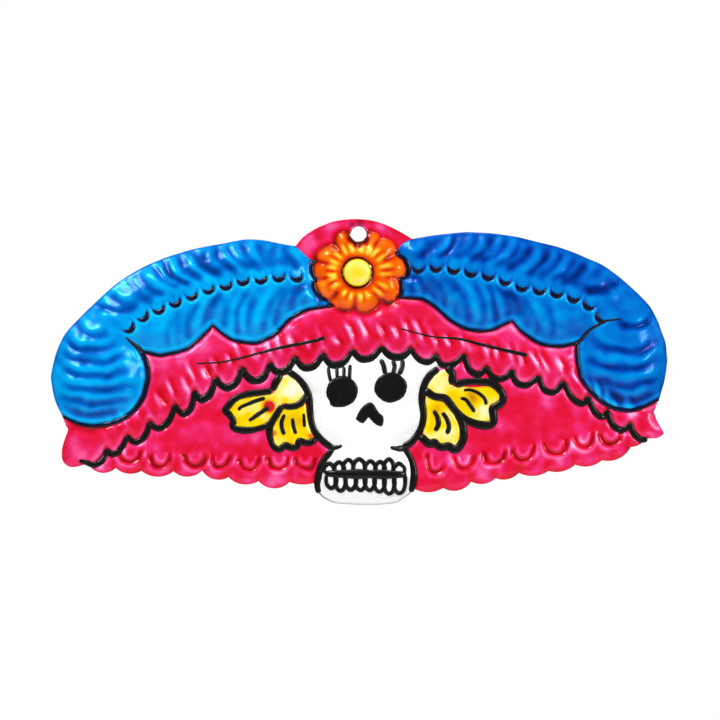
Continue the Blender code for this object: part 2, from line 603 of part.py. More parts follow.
def build_teeth():
    """A black band with a row of windows above its middle and another below: the teeth show through."""
    gums = [TEETH_LEFT + TEETH_PITCH * i for i in range(TEETH_COUNT + 1)]
    above = [(TEETH_LEFT, GUM_TOP)]
    for start, end in zip(gums, gums[1:]):
        above += arc((start, GUM_TOP), ((start + end) / 2, GUM_TOP + GUM_RISE), (end, GUM_TOP))[1:]
    below = hanging_arcs([(x, GUM_BOTTOM) for x in gums], GUM_SAG)
    windows = []
    for i in range(TEETH_COUNT):
        centre = TEETH_LEFT + TEETH_PITCH * (i + 0.5)
        half = TEETH_PITCH / 2 - TOOTH_LINE_HALF
        for window, reach in ((UPPER_WINDOW, half), (LOWER_WINDOW, -half * LOWER_WINDOW["narrowing"])):
            start, end = (centre - reach, window["shoulder"]), (centre + reach, window["shoulder"])
            side = math.copysign(half, reach)
            windows.append(arc(start, (centre, window["crown"]), end))
            windows[-1] += [(centre + side, window["root"]), (centre - side, window["root"])]
    line("teeth_line", [joined(above, below[::-1]), *windows])


def build_leaf_veins():
    """The short strokes on the earrings' leaves."""
    veins = {
        "left": [
            [(-24.3, -36.2), (-24.0, -35.4), (-21.0, -34.4), (-19.2, -33.9)],
            [(-22.5, -38.4), (-18.6, -35.8)],
            [(-15.3, -37.2), (-15.9, -38.9), (-15.3, -41.3)],
            [(-13.5, -37.9), (-13.3, -39.8), (-12.8, -41.0)],
            [(-11.4, -37.0), (-11.3, -39.7)],
        ],
        "right": [
            [(21.6, -32.2), (23.4, -32.1), (25.4, -33.4), (26.2, -35.2)],
            [(20.8, -33.8), (22.0, -34.1), (23.2, -35.6), (24.0, -36.9)],
            [(15.5, -36.3), (16.3, -38.0), (16.2, -39.4), (15.7, -40.6)],
            [(17.2, -36.8), (18.4, -38.6), (18.5, -40.1), (18.1, -41.2)],
        ],
    }
    for side, paths in veins.items():
        for number, path in enumerate(paths, 1):
            line(f"{side}_leaf_vein_{number}", [stroke(path, LEAF_VEIN)])


for old in list(bpy.data.objects):
    bpy.data.objects.remove(old)
parts = bpy.data.collections.new("catrina_ornament")
cutters = bpy.data.collections.new("cutters")
bpy.context.scene.collection.children.link(parts)
bpy.context.scene.collection.children.link(cutters)
ornament = link(bpy.data.objects.new("ornament", None), parts)

materials = {}
for name, (colour, roughness, metallic) in COLOURS.items():
    material = bpy.data.materials.new(name)
    material.use_nodes = True
    shader = material.node_tree.nodes["Principled BSDF"]
    shader.inputs["Base Color"].default_value = (*colour, 1)
    shader.inputs["Roughness"].default_value = roughness
    shader.inputs["Metallic"].default_value = metallic
    materials[name] = material

build_tin_sheet()
build_hat()
build_veil_and_skull()
build_earrings()
build_outlines()
build_plume_lines()
build_face()
build_teeth()
build_leaf_veins()
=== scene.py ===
import math

import bpy
import numpy as np
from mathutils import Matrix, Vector
from mathutils.geometry import delaunay_2d_cdt


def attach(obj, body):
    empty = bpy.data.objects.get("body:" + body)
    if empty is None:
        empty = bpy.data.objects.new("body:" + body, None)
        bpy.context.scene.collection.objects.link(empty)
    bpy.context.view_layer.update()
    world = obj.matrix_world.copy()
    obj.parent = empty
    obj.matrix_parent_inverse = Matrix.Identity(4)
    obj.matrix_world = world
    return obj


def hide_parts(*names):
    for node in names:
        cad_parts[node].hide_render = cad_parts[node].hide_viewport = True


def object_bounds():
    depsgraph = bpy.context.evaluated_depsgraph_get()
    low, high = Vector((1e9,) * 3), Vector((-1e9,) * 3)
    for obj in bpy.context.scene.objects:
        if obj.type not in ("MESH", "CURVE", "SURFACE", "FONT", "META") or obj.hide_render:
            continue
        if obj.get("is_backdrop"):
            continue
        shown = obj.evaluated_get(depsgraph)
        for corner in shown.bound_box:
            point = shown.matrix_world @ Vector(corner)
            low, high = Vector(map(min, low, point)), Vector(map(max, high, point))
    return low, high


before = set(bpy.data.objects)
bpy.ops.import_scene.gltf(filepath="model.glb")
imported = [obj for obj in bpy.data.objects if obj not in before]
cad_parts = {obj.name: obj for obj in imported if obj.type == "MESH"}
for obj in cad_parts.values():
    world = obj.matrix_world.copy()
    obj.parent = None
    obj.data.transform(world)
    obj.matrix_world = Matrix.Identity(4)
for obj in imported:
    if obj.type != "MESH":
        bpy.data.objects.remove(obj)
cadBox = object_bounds()

# Embossed tin catrina ornament. Places are (x, z) in mm from the centre of the hanging hole, and heights rise
# from the flat of the sheet towards -Y, where the front faces.
mm = 0.001
rng = np.random.default_rng(11)  # one fixed seed, so every run presses the same marks

pathStep = 0.3  # mm between the points of a finished path
samePoint = 0.03  # mm, closer than this is one point
swagFullness = 2.6  # 2 hangs as a plain bow, and more is rounder at the bottom


def curved(points, step=pathStep):  # a smooth path through the points
    ends = [points[0], *points, points[-1]]
    path = [points[0]]
    for p0, p1, p2, p3 in zip(ends, ends[1:], ends[2:], ends[3:]):
        steps = max(1, math.ceil(math.dist(p1, p2) / step))
        for i in range(1, steps + 1):
            t = i / steps
            w = (-0.5 * t + t * t - 0.5 * t**3, 1 - 2.5 * t * t + 1.5 * t**3,
                 0.5 * t + 2 * t * t - 1.5 * t**3, 0.5 * (t**3 - t * t))
            path.append(tuple(sum(a * p[k] for a, p in zip(w, (p0, p1, p2, p3))) for k in (0, 1)))
    return path


def arc(a, b, c, step=pathStep):  # the circle's arc from a through b to c
    (ax, az), (bx, bz), (cx, cz) = a, b, c
    d = 2 * (ax * (bz - cz) + bx * (cz - az) + cx * (az - bz))
    if abs(d) < 1e-6:
        return curved([a, b, c], step)
    aa, bb, cc = ax * ax + az * az, bx * bx + bz * bz, cx * cx + cz * cz
    x = (aa * (bz - cz) + bb * (cz - az) + cc * (az - bz)) / d
    z = (aa * (cx - bx) + bb * (ax - cx) + cc * (bx - ax)) / d
    r = math.dist((x, z), a)
    first = math.atan2(az - z, ax - x)
    turn = (math.atan2(cz - z, cx - x) - first) % math.tau
    if (math.atan2(bz - z, bx - x) - first) % math.tau > turn:
        turn -= math.tau
    steps = max(2, math.ceil(abs(turn) * r / step))
    return [(x + r * math.cos(first + turn * i / steps), z + r * math.sin(first + turn * i / steps))
            for i in range(steps + 1)]


def hung(a, low, c, step=pathStep):  # a round-bottomed swag between two cusps
    steps = max(6, math.ceil(1.2 * (math.dist(a, low) + math.dist(low, c)) / step))
    middle = ((a[0] + c[0]) / 2, (a[1] + c[1]) / 2)
    axes = list(zip(a, low, c, middle))
    return [tuple(m + (p - r) / 2 * u + (q - m) * (1 - abs(u) ** swagFullness) for p, q, r, m in axes)
            for u in np.linspace(1, -1, steps + 1).tolist()]


def scallops(stops, shape):  # cusp, low, cusp, low, ... cusp: one arc over each low
    row = [stops[0]]
    for i in range(0, len(stops) - 2, 2):
        row += shape(*stops[i:i + 3])[1:]
    return row


def nearest(path, point):  # the number of the path's point closest to a place
    return min(range(len(path)), key=lambda i: math.dist(path[i], point))


def joined(*stretches):  # one closed outline, repeated points dropped
    outline = []
    for stretch in stretches:
        for point in stretch:
            if not outline or math.dist(point, outline[-1]) > samePoint:
                outline.append(tuple(point))
    if math.dist(outline[0], outline[-1]) < samePoint:
        outline.pop()
    return outline


def along(path, share):  # the point at that share of a path's length, and the direction there
    p = np.array(path)
    steps = np.hypot(*np.diff(p, axis=0).T)
    run = np.concatenate([[0], np.cumsum(steps)])
    at = np.clip(share, 0, 1) * run[-1]
    i = int(np.clip(np.searchsorted(run, at, "right") - 1, 0, len(steps) - 1))
    way = (p[i + 1] - p[i]) / steps[i]
    return p[i] + way * (at - run[i]), way


def pathLength(path):
    return float(np.hypot(*np.diff(np.array(path), axis=0).T).sum())


def bent(a, b, c, steps=14):  # a bow from a to c, pulled towards b
    a, b, c = (np.array(p, float) for p in (a, b, c))
    return [tuple((1 - t) ** 2 * a + 2 * t * (1 - t) * b + t * t * c) for t in np.linspace(0, 1, steps)]


def ring(centre, radiusX, radiusZ, sides=60):
    return [(centre[0] + radiusX * math.cos(math.tau * i / sides),
             centre[1] + radiusZ * math.sin(math.tau * i / sides)) for i in range(sides)]


# Outlines of the sheet and of every painted field.
sheet = {"thickness": 0.35, "gap": 0.08, "pitch": 0.4}
hole = {"radius": 1.58, "flatRound": 3.2}

flower = {
    "centre": (-0.25, -8.0), "bossRadius": 2.72, "shoulderOut": 0.38, "shoulderIn": 0.29, "petalStep": 0.25,
    "tips": [
        (5, 10.3), (40, 9.7), (71, 9.0), (112, 9.2), (147, 9.1), (177, 9.2), (202, 9.2), (246, 8.5),
        (285, 8.6), (325, 9.9)],
    "valleys": [
        (7.6, -4.3), (4.3, -0.9), (-0.3, -0.7), (-4.9, -2.2), (-8.8, -5.5), (-8.2, -9.4), (-6.0, -13.7),
        (-0.9, -15.1), (4.6, -13.6), (8.2, -9.2)],
}


def fromFlower(angle, radius):  # a place by its angle and distance from the boss
    a = math.radians(angle)
    return flower["centre"][0] + radius * math.cos(a), flower["centre"][1] + radius * math.sin(a)


def petal(i):  # from the valley before the tip to the one after it, anticlockwise
    start, end = flower["valleys"][i - 1], flower["valleys"][i]
    tip = fromFlower(*flower["tips"][i])
    middle = ((start[0] + end[0]) / 2, (start[1] + end[1]) / 2)
    out = (tip[0] - middle[0], tip[1] - middle[1])
    shoulders = [tuple(p[k] + flower["shoulderOut"] * out[k] + flower["shoulderIn"] * (tip[k] - p[k])
                       for k in (0, 1)) for p in (start, end)]
    return curved([start, shoulders[0], tip, shoulders[1], end], flower["petalStep"])


def petals(first, last):
    return joined(*[petal(i % 10) for i in range(first, last + 1)])


petalEdge = petals(0, 9)
crownMeets = nearest(petal(1), (8.0, -3.4))
underMeets = {"left": nearest(petal(7), (-6.2, -15.35)), "right": nearest(petal(9), (8.9, -13.3))}

crownLeft = curved([flower["valleys"][4], (-9.9, -5.3), (-11.3, -4.1), (-13, -2.5)])
crownRight = curved([petal(1)[crownMeets], (8.7, -2.3), (9.7, -1.6), (11.0, -1.05)])
crownEdge = curved([
    (-13.0, -2.5), (-11.5, -0.7), (-10, 0.4), (-8, 1.5), (-5, 2.6), (-2, 3.0), (0, 3.05), (2.5, 2.8),
    (5, 2.1), (7.5, 1.0), (9.5, -0.1), (11.0, -1.05)])
plumes = {
    "left": {
        "outer": curved([
            (-13, -2.5), (-15, -2.2), (-17, -1.8), (-20, -1.25), (-23.5, -1.15), (-28, -2.0), (-31, -2.5),
            (-35, -3.4), (-40, -5.0), (-45, -7.2), (-50, -10.4), (-55, -14.9), (-58.4, -18.3),
            (-60.2, -20.3), (-61.3, -22.2), (-62.4, -25), (-63.2, -28.5), (-63.3, -30), (-62.8, -33),
            (-62.2, -35), (-61.0, -37.4)]),
        "under": curved([
            petal(7)[underMeets["left"]],
            (-9.5, -15.4), (-11, -15.8), (-12.5, -16.5), (-13.9, -17.4), (-14.9, -18.3), (-16.6, -20.2),
            (-18, -21.2), (-19.5, -21.9), (-21.3, -22.5), (-24.5, -22.2), (-26, -21.8), (-27.5, -20.9),
            (-28.7, -20.0), (-30.0, -18.8)])
        + curved([
            (-30.0, -18.8), (-31, -19.9), (-32.3, -21.2), (-33.5, -22.3), (-35, -23.5), (-36.5, -24.1),
            (-38, -24.5), (-39.5, -24.8), (-41, -25.0), (-42.5, -24.7), (-43.7, -24.4),
            (-44.8, -24.2)])[1:],
        "curl": curved([
            (-44.8, -24.2), (-44.2, -25.3), (-43.7, -26.5), (-43.4, -28), (-43.4, -30), (-43.9, -32),
            (-44.3, -33.5), (-45.2, -35), (-46.2, -36.3), (-47.5, -37.4), (-49, -38.3), (-51, -39.0),
            (-53, -39.4), (-55, -39.5), (-57, -39.2), (-59, -38.5), (-61, -37.4)]),
        "curlTip": curved([(-47.8, -21.3), (-46.5, -22.5), (-45.5, -23.3), (-44.8, -24.2)]),
        "quill": curved([
            (-10.4, -8.3), (-12.8, -8.5), (-16.5, -8.5), (-20.0, -8.9), (-23.5, -9.2), (-27.0, -10.1),
            (-30.7, -11.0), (-34.0, -12.2), (-37.4, -13.5), (-40.7, -14.9), (-44.2, -16.5),
            (-47.4, -19.0)]),
        "marks": 11, "firstMark": 2.4, "peak": (-30.0, -18.8),
        "smiles": [
            (-58.8, -16.6, -3.1, -50.5, -19.5), (-61.0, -20.2, -3.0, -49.0, -22.0),
            (-62.2, -23.0, -2.7, -46.4, -24.0), (-62.9, -26.3, -2.5, -45.2, -27.0),
            (-63.0, -29.6, -2.4, -44.8, -30.0), (-62.6, -32.6, -2.3, -45.4, -32.6),
            (-61.6, -35.2, -1.9, -47.5, -35.3)],
    },
    "right": {
        "outer": curved([
            (11.0, -1.05), (13, -0.7), (15, -0.35), (18, 0), (21, 0.3), (23, 0.35), (27, 0.15), (30, -0.2),
            (33, -0.7), (37, -1.7), (40, -2.4), (42, -3.0), (45, -4.1), (47, -5.0), (50, -6.3),
            (52.8, -8.2), (55, -10), (57.8, -12.6), (60, -15), (61.6, -18), (62.3, -20), (63.2, -22.5),
            (63.45, -25), (63.5, -26.5), (63.0, -30), (62.4, -32.2), (61.9, -34.0)]),
        "under": curved([
            petal(9)[underMeets["right"]],
            (12, -13.3), (13.5, -13.6), (15, -14.5), (16.3, -15.5), (17.5, -16.6), (19, -17.9),
            (20.5, -18.8), (22, -19.5), (23.8, -19.9), (25.5, -20.0), (27.3, -19.8), (28.8, -19.2),
            (30, -18.6), (31.7, -17.9)])
        + curved([
            (31.7, -17.9), (32.3, -18.8), (33.2, -19.8), (34, -20.5), (35, -21.2), (36.5, -22.2),
            (38, -22.8), (40, -23.1), (42, -23.1), (43.5, -22.8), (45.0, -22.4)])[1:],
        "curl": curved([
            (45.0, -22.4), (44.9, -24), (45.0, -25.5), (45.2, -27), (45.6, -29), (46.2, -30.4),
            (47.3, -31.9), (48.3, -33), (49.7, -34.3), (51.3, -35.3), (53, -36.0), (54.7, -36.3),
            (56.3, -36.3), (58, -35.8), (59.5, -35.2), (61, -34.4), (61.9, -34.0)]),
        "curlTip": curved([
            (54.2, -17.5), (52.5, -17.7), (51, -17.9), (50, -18.4), (48.7, -19.0), (47.5, -19.8),
            (46.5, -20.9), (45.7, -21.9), (45.0, -22.4)]),
        "quill": curved([
            (10.4, -6.8), (12.2, -6.7), (15.9, -6.5), (19.7, -6.9), (23.4, -7.6), (27.0, -8.3),
            (30.4, -9.4), (34.0, -10.7), (37.6, -11.2), (41.2, -11.9), (44.7, -13.0), (47.7, -14.5),
            (50.0, -17.0)]),
        "marks": 12, "firstMark": 1.9, "peak": (31.7, -17.9),
        "smiles": [
            (60.5, -15.8, -2.8, 52.5, -17.0), (62.4, -21.0, -3.2, 47.2, -21.2),
            (63.1, -24.8, -3.0, 46.0, -24.6), (62.8, -28.4, -2.9, 46.8, -28.4),
            (61.7, -31.8, -2.4, 49.0, -31.6)],
    },
}
leftFlap = curved([
    (-61.0, -37.4), (-60.2, -39.5), (-59.8, -40.3), (-60.4, -42), (-61.0, -44), (-61.1, -45.5),
    (-61, -46.5), (-60.3, -47.5), (-59.2, -48.0), (-57.8, -47.9), (-56.4, -47.5), (-55.6, -47.4)])
rightFlap = curved([(61.9, -34.0), (61.2, -35.5), (60.75, -36.7)]) + curved([
    (60.75, -36.7), (61.3, -38.2), (62.0, -39.5), (62.7, -40.7), (62.8, -41.1), (62.3, -41.6), (61.5, -42.0),
    (60.5, -42.1), (59.5, -42.1)])
flapCorner = curved([(59.5, -42.1), (58.7, -42.8), (57.4, -43.6), (56.0, -43.9)])
hem = {  # notch, low, notch ... from the flap to the jaw
    "left": [
        (-55.6, -47.4), (-52.8, -49.2), (-50.0, -48.2), (-47, -49.4), (-44.7, -48.8), (-41, -50.0),
        (-38.1, -48.9), (-35.5, -50.0), (-32.2, -48.7), (-29.3, -50.6), (-26.8, -50.1), (-23, -51.6),
        (-20.6, -50.9), (-17.2, -52.4), (-14.2, -51.1), (-11.8, -51.6), (-9.3, -51.3)],
    "right": [
        (56.0, -43.9), (54.2, -45.9), (50.1, -46.6), (47, -47.9), (44.6, -47.5), (41.3, -49.0),
        (39.1, -48.8), (36.5, -49.8), (33.0, -49.2), (30, -50.6), (28.2, -50.3), (25.5, -51.5),
        (23.2, -51.0), (20, -52.9), (17.4, -52.3), (14.5, -53.2), (11.5, -52.5)],
}
hem["leftEdge"], hem["rightEdge"] = scallops(hem["left"], arc), scallops(hem["right"], arc)
chin = curved([
    (10.8, -53.2), (10.2, -53.8), (9, -54.6), (7.5, -55.4), (3.9, -55.75), (0, -55.75), (-4.4, -55.5),
    (-5.5, -55.2), (-7.2, -54.4), (-8.2, -53.4)])
chinCorner = [(-8.2, -53.4), (-9.0, -52.0), (-9.3, -51.3)]

brimStops = [  # end, low, cusp, low ... along the ruffled edge, from left to right
    (-55.6, -47.4), (-53.6, -47.0), (-51.8, -44.2), (-49.8, -45.0), (-47.6, -41.4), (-45, -42.6),
    (-43, -38.6), (-40.2, -39.6), (-37.8, -35.1), (-35.3, -36.8), (-33.8, -32.2), (-31.5, -33.8),
    (-29.4, -29.5), (-26.4, -31.5), (-24, -27.4), (-20.9, -30.2), (-18.2, -26.4), (-15.8, -28.4),
    (-13.0, -25.2), (-10.3, -27.6), (-7.3, -24.5), (-4.5, -27.0), (-1.2, -23.8), (1.6, -25.8),
    (4.7, -23.1), (7.8, -25.4), (10.7, -23.4), (13.4, -26.3), (16.0, -24.7), (18.2, -27.1), (21.8, -24.7),
    (23.7, -28.7), (26.4, -27.2), (28.7, -29.9), (31.7, -27.9), (33.5, -31.1), (37.1, -29.2),
    (39.2, -32.6), (42.1, -30.3), (45, -34.6), (47.2, -33.3), (49.4, -37.4), (51.2, -36.1), (53.2, -40.1),
    (56.0, -38.9), (57.2, -41.7), (59.5, -42.1)]
brimEdge = scallops(brimStops, hung)

skullLines = {
    "left": {
        "cheek": curved([
            (-14.5, -28.3), (-12.6, -29.6), (-11.2, -31.2), (-10.3, -33), (-10, -35), (-9.9, -37),
            (-9.6, -39), (-8.9, -40.8), (-7.5, -42.5), (-6, -43.7), (-5.2, -44.2)]),
        "jaw": curved([
            (-5.2, -44.2), (-6.3, -45.5), (-7.3, -46.7), (-8, -48.5), (-8.3, -50.3), (-8.5, -51.4),
            (-8.4, -52.4), (-8.2, -53.4)]),
        "hook": curved([(-6.6, -43.7), (-5.2, -44.0), (-4.0, -43.8), (-3.4, -43.5)]),
    },
    "right": {
        "cheek": curved([
            (16.5, -27.6), (14.9, -28.9), (13.7, -30.6), (13.1, -32.5), (13.0, -34.5), (13.3, -36.5),
            (13.3, -38), (12.9, -39.7), (12.2, -41.2), (11, -42.7), (9.7, -43.6), (9.4, -44.1)]),
        "jaw": curved([
            (9.4, -44.1), (10.6, -46), (11.2, -47.8), (11.4, -49.5), (11.2, -51.2), (10.8, -53.2)]),
        "hook": curved([(10.3, -43.6), (9.0, -44.1), (7.8, -44.2), (6.5, -43.9)]),
    },
}

earrings = {
    "left": {
        "upper": joined(
            curved([
                (-14.3, -28.9), (-12.4, -30.3), (-11.1, -32.3), (-11.8, -34.2), (-13.6, -35.2),
                (-15.3, -35.0), (-15.8, -34.9)]),
            curved([
                (-15.8, -34.9), (-16.9, -36.3), (-18, -37.8), (-19.5, -39.2), (-21.5, -39.9), (-24, -39.8),
                (-25.7, -39.6), (-25.6, -37.9), (-26.2, -37.1), (-27.1, -36.1), (-25, -34.2), (-23, -33.7),
                (-20, -33.3), (-17.6, -32.8)]),
            curved([(-17.6, -32.8), (-17.2, -31.8), (-16.3, -29.8), (-14.3, -28.9)])),
        "lower": joined(
            curved([(-15.6, -36), (-14, -36.0), (-12, -35.6), (-11, -34.6)]),
            curved([(-11, -34.6), (-10.6, -37), (-10.3, -39), (-9.8, -40.6), (-9.1, -41.8)]),
            curved([
                (-9.1, -41.8), (-10.2, -42.8), (-11.3, -42.5), (-12.2, -42.3), (-12.9, -43.5),
                (-13.8, -43.8), (-14.7, -43.3), (-15.4, -43.1), (-16.1, -43.9), (-17.2, -43.7),
                (-17.7, -42), (-17.8, -40.5), (-17.3, -39.3), (-16.4, -37.5), (-15.6, -36)])),
        "lines": [
            [(-15.8, -28.7), (-17, -30.5), (-17.8, -32.3)],
            [
                (-17.8, -32.3), (-20, -32.6), (-23, -33.0), (-25.5, -34), (-27, -35.6), (-27.4, -36.4),
                (-26.6, -37.2), (-25.8, -38.5), (-25.9, -39.5), (-25.2, -40.2), (-22.5, -40.4),
                (-20, -39.9), (-18.2, -39.0), (-17, -37.3), (-15.7, -35.3)],
            [(-15.7, -35.3), (-14.2, -35.6), (-12.5, -35.2), (-11.3, -34.2), (-10.8, -33)],
            [
                (-16.4, -36.6), (-17.9, -38.8), (-18.3, -40), (-18.3, -41.5), (-17.7, -43.5),
                (-16.6, -44.4), (-15.7, -44), (-15, -43.5), (-14, -44), (-12.7, -43.8), (-12.2, -42.6),
                (-11.2, -42.9), (-10, -43), (-8.6, -42.1)]],
        "veins": [([(-24.6, -36.4), (-24.3, -35.7), (-22.5, -34.9), (-20.7, -34.2), (-19.2, -33.8)], 0.6),
                  ([(-22.6, -38.5), (-20.5, -37), (-18.4, -35.6)], 0.7),
                  ([(-15.2, -37.1), (-15.8, -38.5), (-15.8, -39.8), (-15.3, -41.4)], 0.65),
                  ([(-13.6, -37.9), (-13.4, -39.5), (-12.9, -41.2)], 0.6),
                  ([(-11.3, -36.9), (-11.2, -38.3), (-11.1, -39.8)], 0.5)],
        "lineWidth": 1.15,
    },
    "right": {
        "upper": joined(
            curved([(17.6, -27.9), (18.5, -28.8), (18.8, -30), (19.6, -31.5), (20.3, -31.4)]),
            curved([
                (20.3, -31.4), (24, -31.6), (26.5, -31.4), (28, -32.1), (28.9, -33.2), (28.7, -34.5),
                (27.5, -35.1)]),
            curved([
                (27.5, -35.1), (26.9, -37), (27.1, -38.3), (26.5, -38.7), (24.5, -38.5), (22.5, -37.9),
                (20.8, -36.8), (19.5, -35.3), (18.5, -34), (17.2, -33.3), (15.6, -33), (14.1, -32.4),
                (14.0, -30.9), (14.6, -29.6), (16.2, -28.3), (17.6, -27.9)])),
        "lower": joined(
            curved([
                (14, -32.9), (15.5, -34.1), (17.2, -34.6), (18.6, -35.8), (19.7, -37.5), (20.4, -39),
                (20.9, -40.8), (20.8, -42.5), (19.9, -43.8), (18.9, -43.4), (18.4, -42.9), (17.5, -43.4),
                (16.8, -43.4), (16.1, -42.9), (15.5, -42.6), (14.6, -42.8), (13.5, -41.8)]),
            curved([(13.5, -41.8), (13.2, -40.4), (13.5, -38.5), (13.7, -36.5), (13.5, -34.5), (14, -32.9)])),
        "lines": [
            [(18.0, -27.4), (19.2, -28.6), (19.3, -30.2), (19.7, -31)],
            [
                (19.7, -31), (22.5, -30.4), (25, -30.4), (27, -30.6), (28.5, -31.5), (29.6, -33),
                (29.6, -34.4), (28.5, -35.4), (27.6, -35.9), (27.7, -37), (27.8, -38.4), (27.2, -39.3),
                (25.5, -39.4), (23.5, -38.9), (21.6, -38), (20.2, -36.7), (19, -35.2), (17.9, -33.9),
                (16.8, -33.6), (15.5, -33.4), (14.2, -32.6), (13.4, -32.0)],
            [
                (20.2, -36.9), (21.2, -38.6), (21.6, -40.5), (21.5, -42.3), (20.6, -43.9), (19.5, -44.4),
                (18.6, -43.7), (17.2, -43.9), (16.3, -43.6), (15.6, -42.9), (14.6, -43.2), (13.4, -42.3),
                (12.7, -41.3)]],
        "veins": [([(21.6, -32.2), (23, -32.1), (24.7, -32.8), (26, -34), (26.2, -35.2)], 0.55),
                  ([(20.9, -33.8), (22, -34.1), (23, -35.3), (23.9, -36.7)], 0.6),
                  ([(15.4, -36.3), (16.2, -37.7), (16.4, -39.2), (15.7, -40.6)], 0.75),
                  ([(17.2, -36.7), (18.2, -38.2), (18.6, -39.8), (18.1, -41.2)], 0.75)],
        "lineWidth": 1.35,
    },
}

silhouette = joined(crownEdge, plumes["right"]["outer"], rightFlap, flapCorner, hem["rightEdge"], chin,
                    chinCorner, hem["leftEdge"][::-1], leftFlap[::-1], plumes["left"]["outer"][::-1])
crownField = joined(crownEdge, crownRight[::-1], petal(1)[crownMeets:], petals(2, 4), crownLeft)
sides = ("left", "right")
byFlower = {"left": [petal(5), petal(6), petal(7)[:underMeets["left"] + 1]],  # the petals that a plume meets
            "right": [petal(9)[underMeets["right"]:], petal(0), petal(1)[:crownMeets + 1]]}
inward = {side: (plumes[side]["curl"][::-1], plumes[side]["under"][::-1]) for side in sides}
leftPlumeField = joined(plumes["left"]["outer"], *inward["left"], *(p[::-1] for p in byFlower["left"][::-1]),
                        crownLeft)
rightPlumeField = joined(plumes["right"]["outer"], *inward["right"], *byFlower["right"], crownRight)
brimField = joined(leftFlap[::-1], *inward["left"], petal(7)[underMeets["left"]:], petal(8),
                   petal(9)[:underMeets["right"] + 1], plumes["right"]["under"], plumes["right"]["curl"],
                   rightFlap, brimEdge[::-1])
chinInset = {"middle": 1.3, "narrower": 0.982, "lift": 0.17}  # the paint stops just short of the cut edge, and the thin line of bare grey tin there stands in for the shade along the chin
chinPaint = [(chinInset["middle"] + chinInset["narrower"] * (x - chinInset["middle"]), z + chinInset["lift"])
             for x, z in chin]
edgeAt = {side: nearest(brimEdge, skullLines[side]["cheek"][0]) for side in skullLines}
skullField = joined(brimEdge[edgeAt["left"]:edgeAt["right"] + 1], skullLines["right"]["cheek"],
                    skullLines["right"]["jaw"], chinPaint, skullLines["left"]["jaw"][::-1],
                    skullLines["left"]["cheek"][::-1])
leftVeilField = joined(brimEdge[:edgeAt["left"] + 1], skullLines["left"]["cheek"], skullLines["left"]["jaw"],
                       chinCorner, hem["leftEdge"][::-1])
rightVeilField = joined(brimEdge[edgeAt["right"]:], flapCorner, hem["rightEdge"],
                        skullLines["right"]["jaw"][::-1], skullLines["right"]["cheek"][::-1])

# The relief is a set of maps over (x, z).
mapStep = 0.125  # mm
mapX, mapZ = np.arange(-66, 66.001, mapStep), np.arange(-58, 6.001, mapStep)
height = np.zeros((len(mapZ), len(mapX)))
tint = np.zeros_like(height)  # extra colour, above 0 dark and below 0 pale: lacquer pooled in dents and along edges with painted shade there, and painted highlights on ridges
stain = np.zeros_like(height)  # spots where the next colour ran in


def measured(path, xs, zs):  # distance from each place to a path, and the share of the path passed there
    away, share = np.full(np.shape(xs), np.inf), np.zeros(np.shape(xs))
    total, run = max(pathLength(path), 1e-9), 0.0
    for (ax, az), (bx, bz) in zip(path, path[1:]):
        dx, dz = bx - ax, bz - az
        long = math.hypot(dx, dz)
        if not long:
            continue
        t = np.clip(((xs - ax) * dx + (zs - az) * dz) / long**2, 0, 1)
        d = np.hypot(xs - ax - t * dx, zs - az - t * dz)
        nearer = d < away
        away[nearer] = d[nearer]
        share[nearer] = ((run + t * long) / total)[nearer]
        run += long
    return away, share


def inside(outline, xs, zs):  # which places lie within an outline
    found = np.zeros(np.shape(xs), bool)
    for (ax, az), (bx, bz) in zip(outline, outline[1:] + outline[:1]):
        if az != bz:
            found ^= ((az > zs) != (bz > zs)) & (xs < ax + (zs - az) * (bx - ax) / (bz - az))
    return found


def window(points, margin):  # the part of the maps round some points, and its places
    p = np.array(points)
    (x0, z0), (x1, z1) = p.min(0) - margin, p.max(0) + margin
    columns = slice(*np.searchsorted(mapX, (x0, x1)))
    rows = slice(*np.searchsorted(mapZ, (z0, z1)))
    return (rows, columns), *np.meshgrid(mapX[columns], mapZ[rows])


rimShape = {"away": 1.7, "width": 0.8}  # the metal pushed up beside a groove, in widths of the groove


def press(path, depth, width, rim=0.0, fade=0.25, colour=0.0):  # a groove, dying out over its ends
    at, xs, zs = window(path, 3.5 * width + 1)
    away, share = measured(path, xs, zs)
    ends = np.clip(np.minimum(share, 1 - share) / fade, 0, 1) if fade else 1.0
    ends = ends * ends * (3 - 2 * ends)
    groove = np.exp(-((away / width) ** 2)) * ends
    beside = (away - rimShape["away"] * width) / (rimShape["width"] * width)
    height[at] += rim * np.exp(-(beside**2)) * ends - depth * groove
    tint[at] += colour * groove


def blurred(values, reach):  # a Gaussian blur of that many mm
    radius = int(3 * reach / mapStep)
    kernel = np.exp(-0.5 * (np.arange(-radius, radius + 1) * mapStep / reach) ** 2)
    kernel /= kernel.sum()
    padded = np.pad(values, radius, mode="edge")
    rows = np.apply_along_axis(np.convolve, 1, padded, kernel, "valid")
    return np.apply_along_axis(np.convolve, 0, rows, kernel, "valid")


def read(values, xs, zs):  # the map's value at any place
    u, v = (np.asarray(xs) - mapX[0]) / mapStep, (np.asarray(zs) - mapZ[0]) / mapStep
    i, j = np.clip(u.astype(int), 0, len(mapX) - 2), np.clip(v.astype(int), 0, len(mapZ) - 2)
    s, t = np.clip(u - i, 0, 1), np.clip(v - j, 0, 1)
    return ((values[j, i] * (1 - s) + values[j, i + 1] * s) * (1 - t)
            + (values[j + 1, i] * (1 - s) + values[j + 1, i + 1] * s) * t)


def dab(centre, radius, amount):  # a soft spot of another colour
    at, xs, zs = window([centre], 3 * radius)
    away = np.hypot(xs - centre[0], zs - centre[1])
    stain[at] = np.maximum(stain[at], amount * np.exp(-((away / radius) ** 4)))


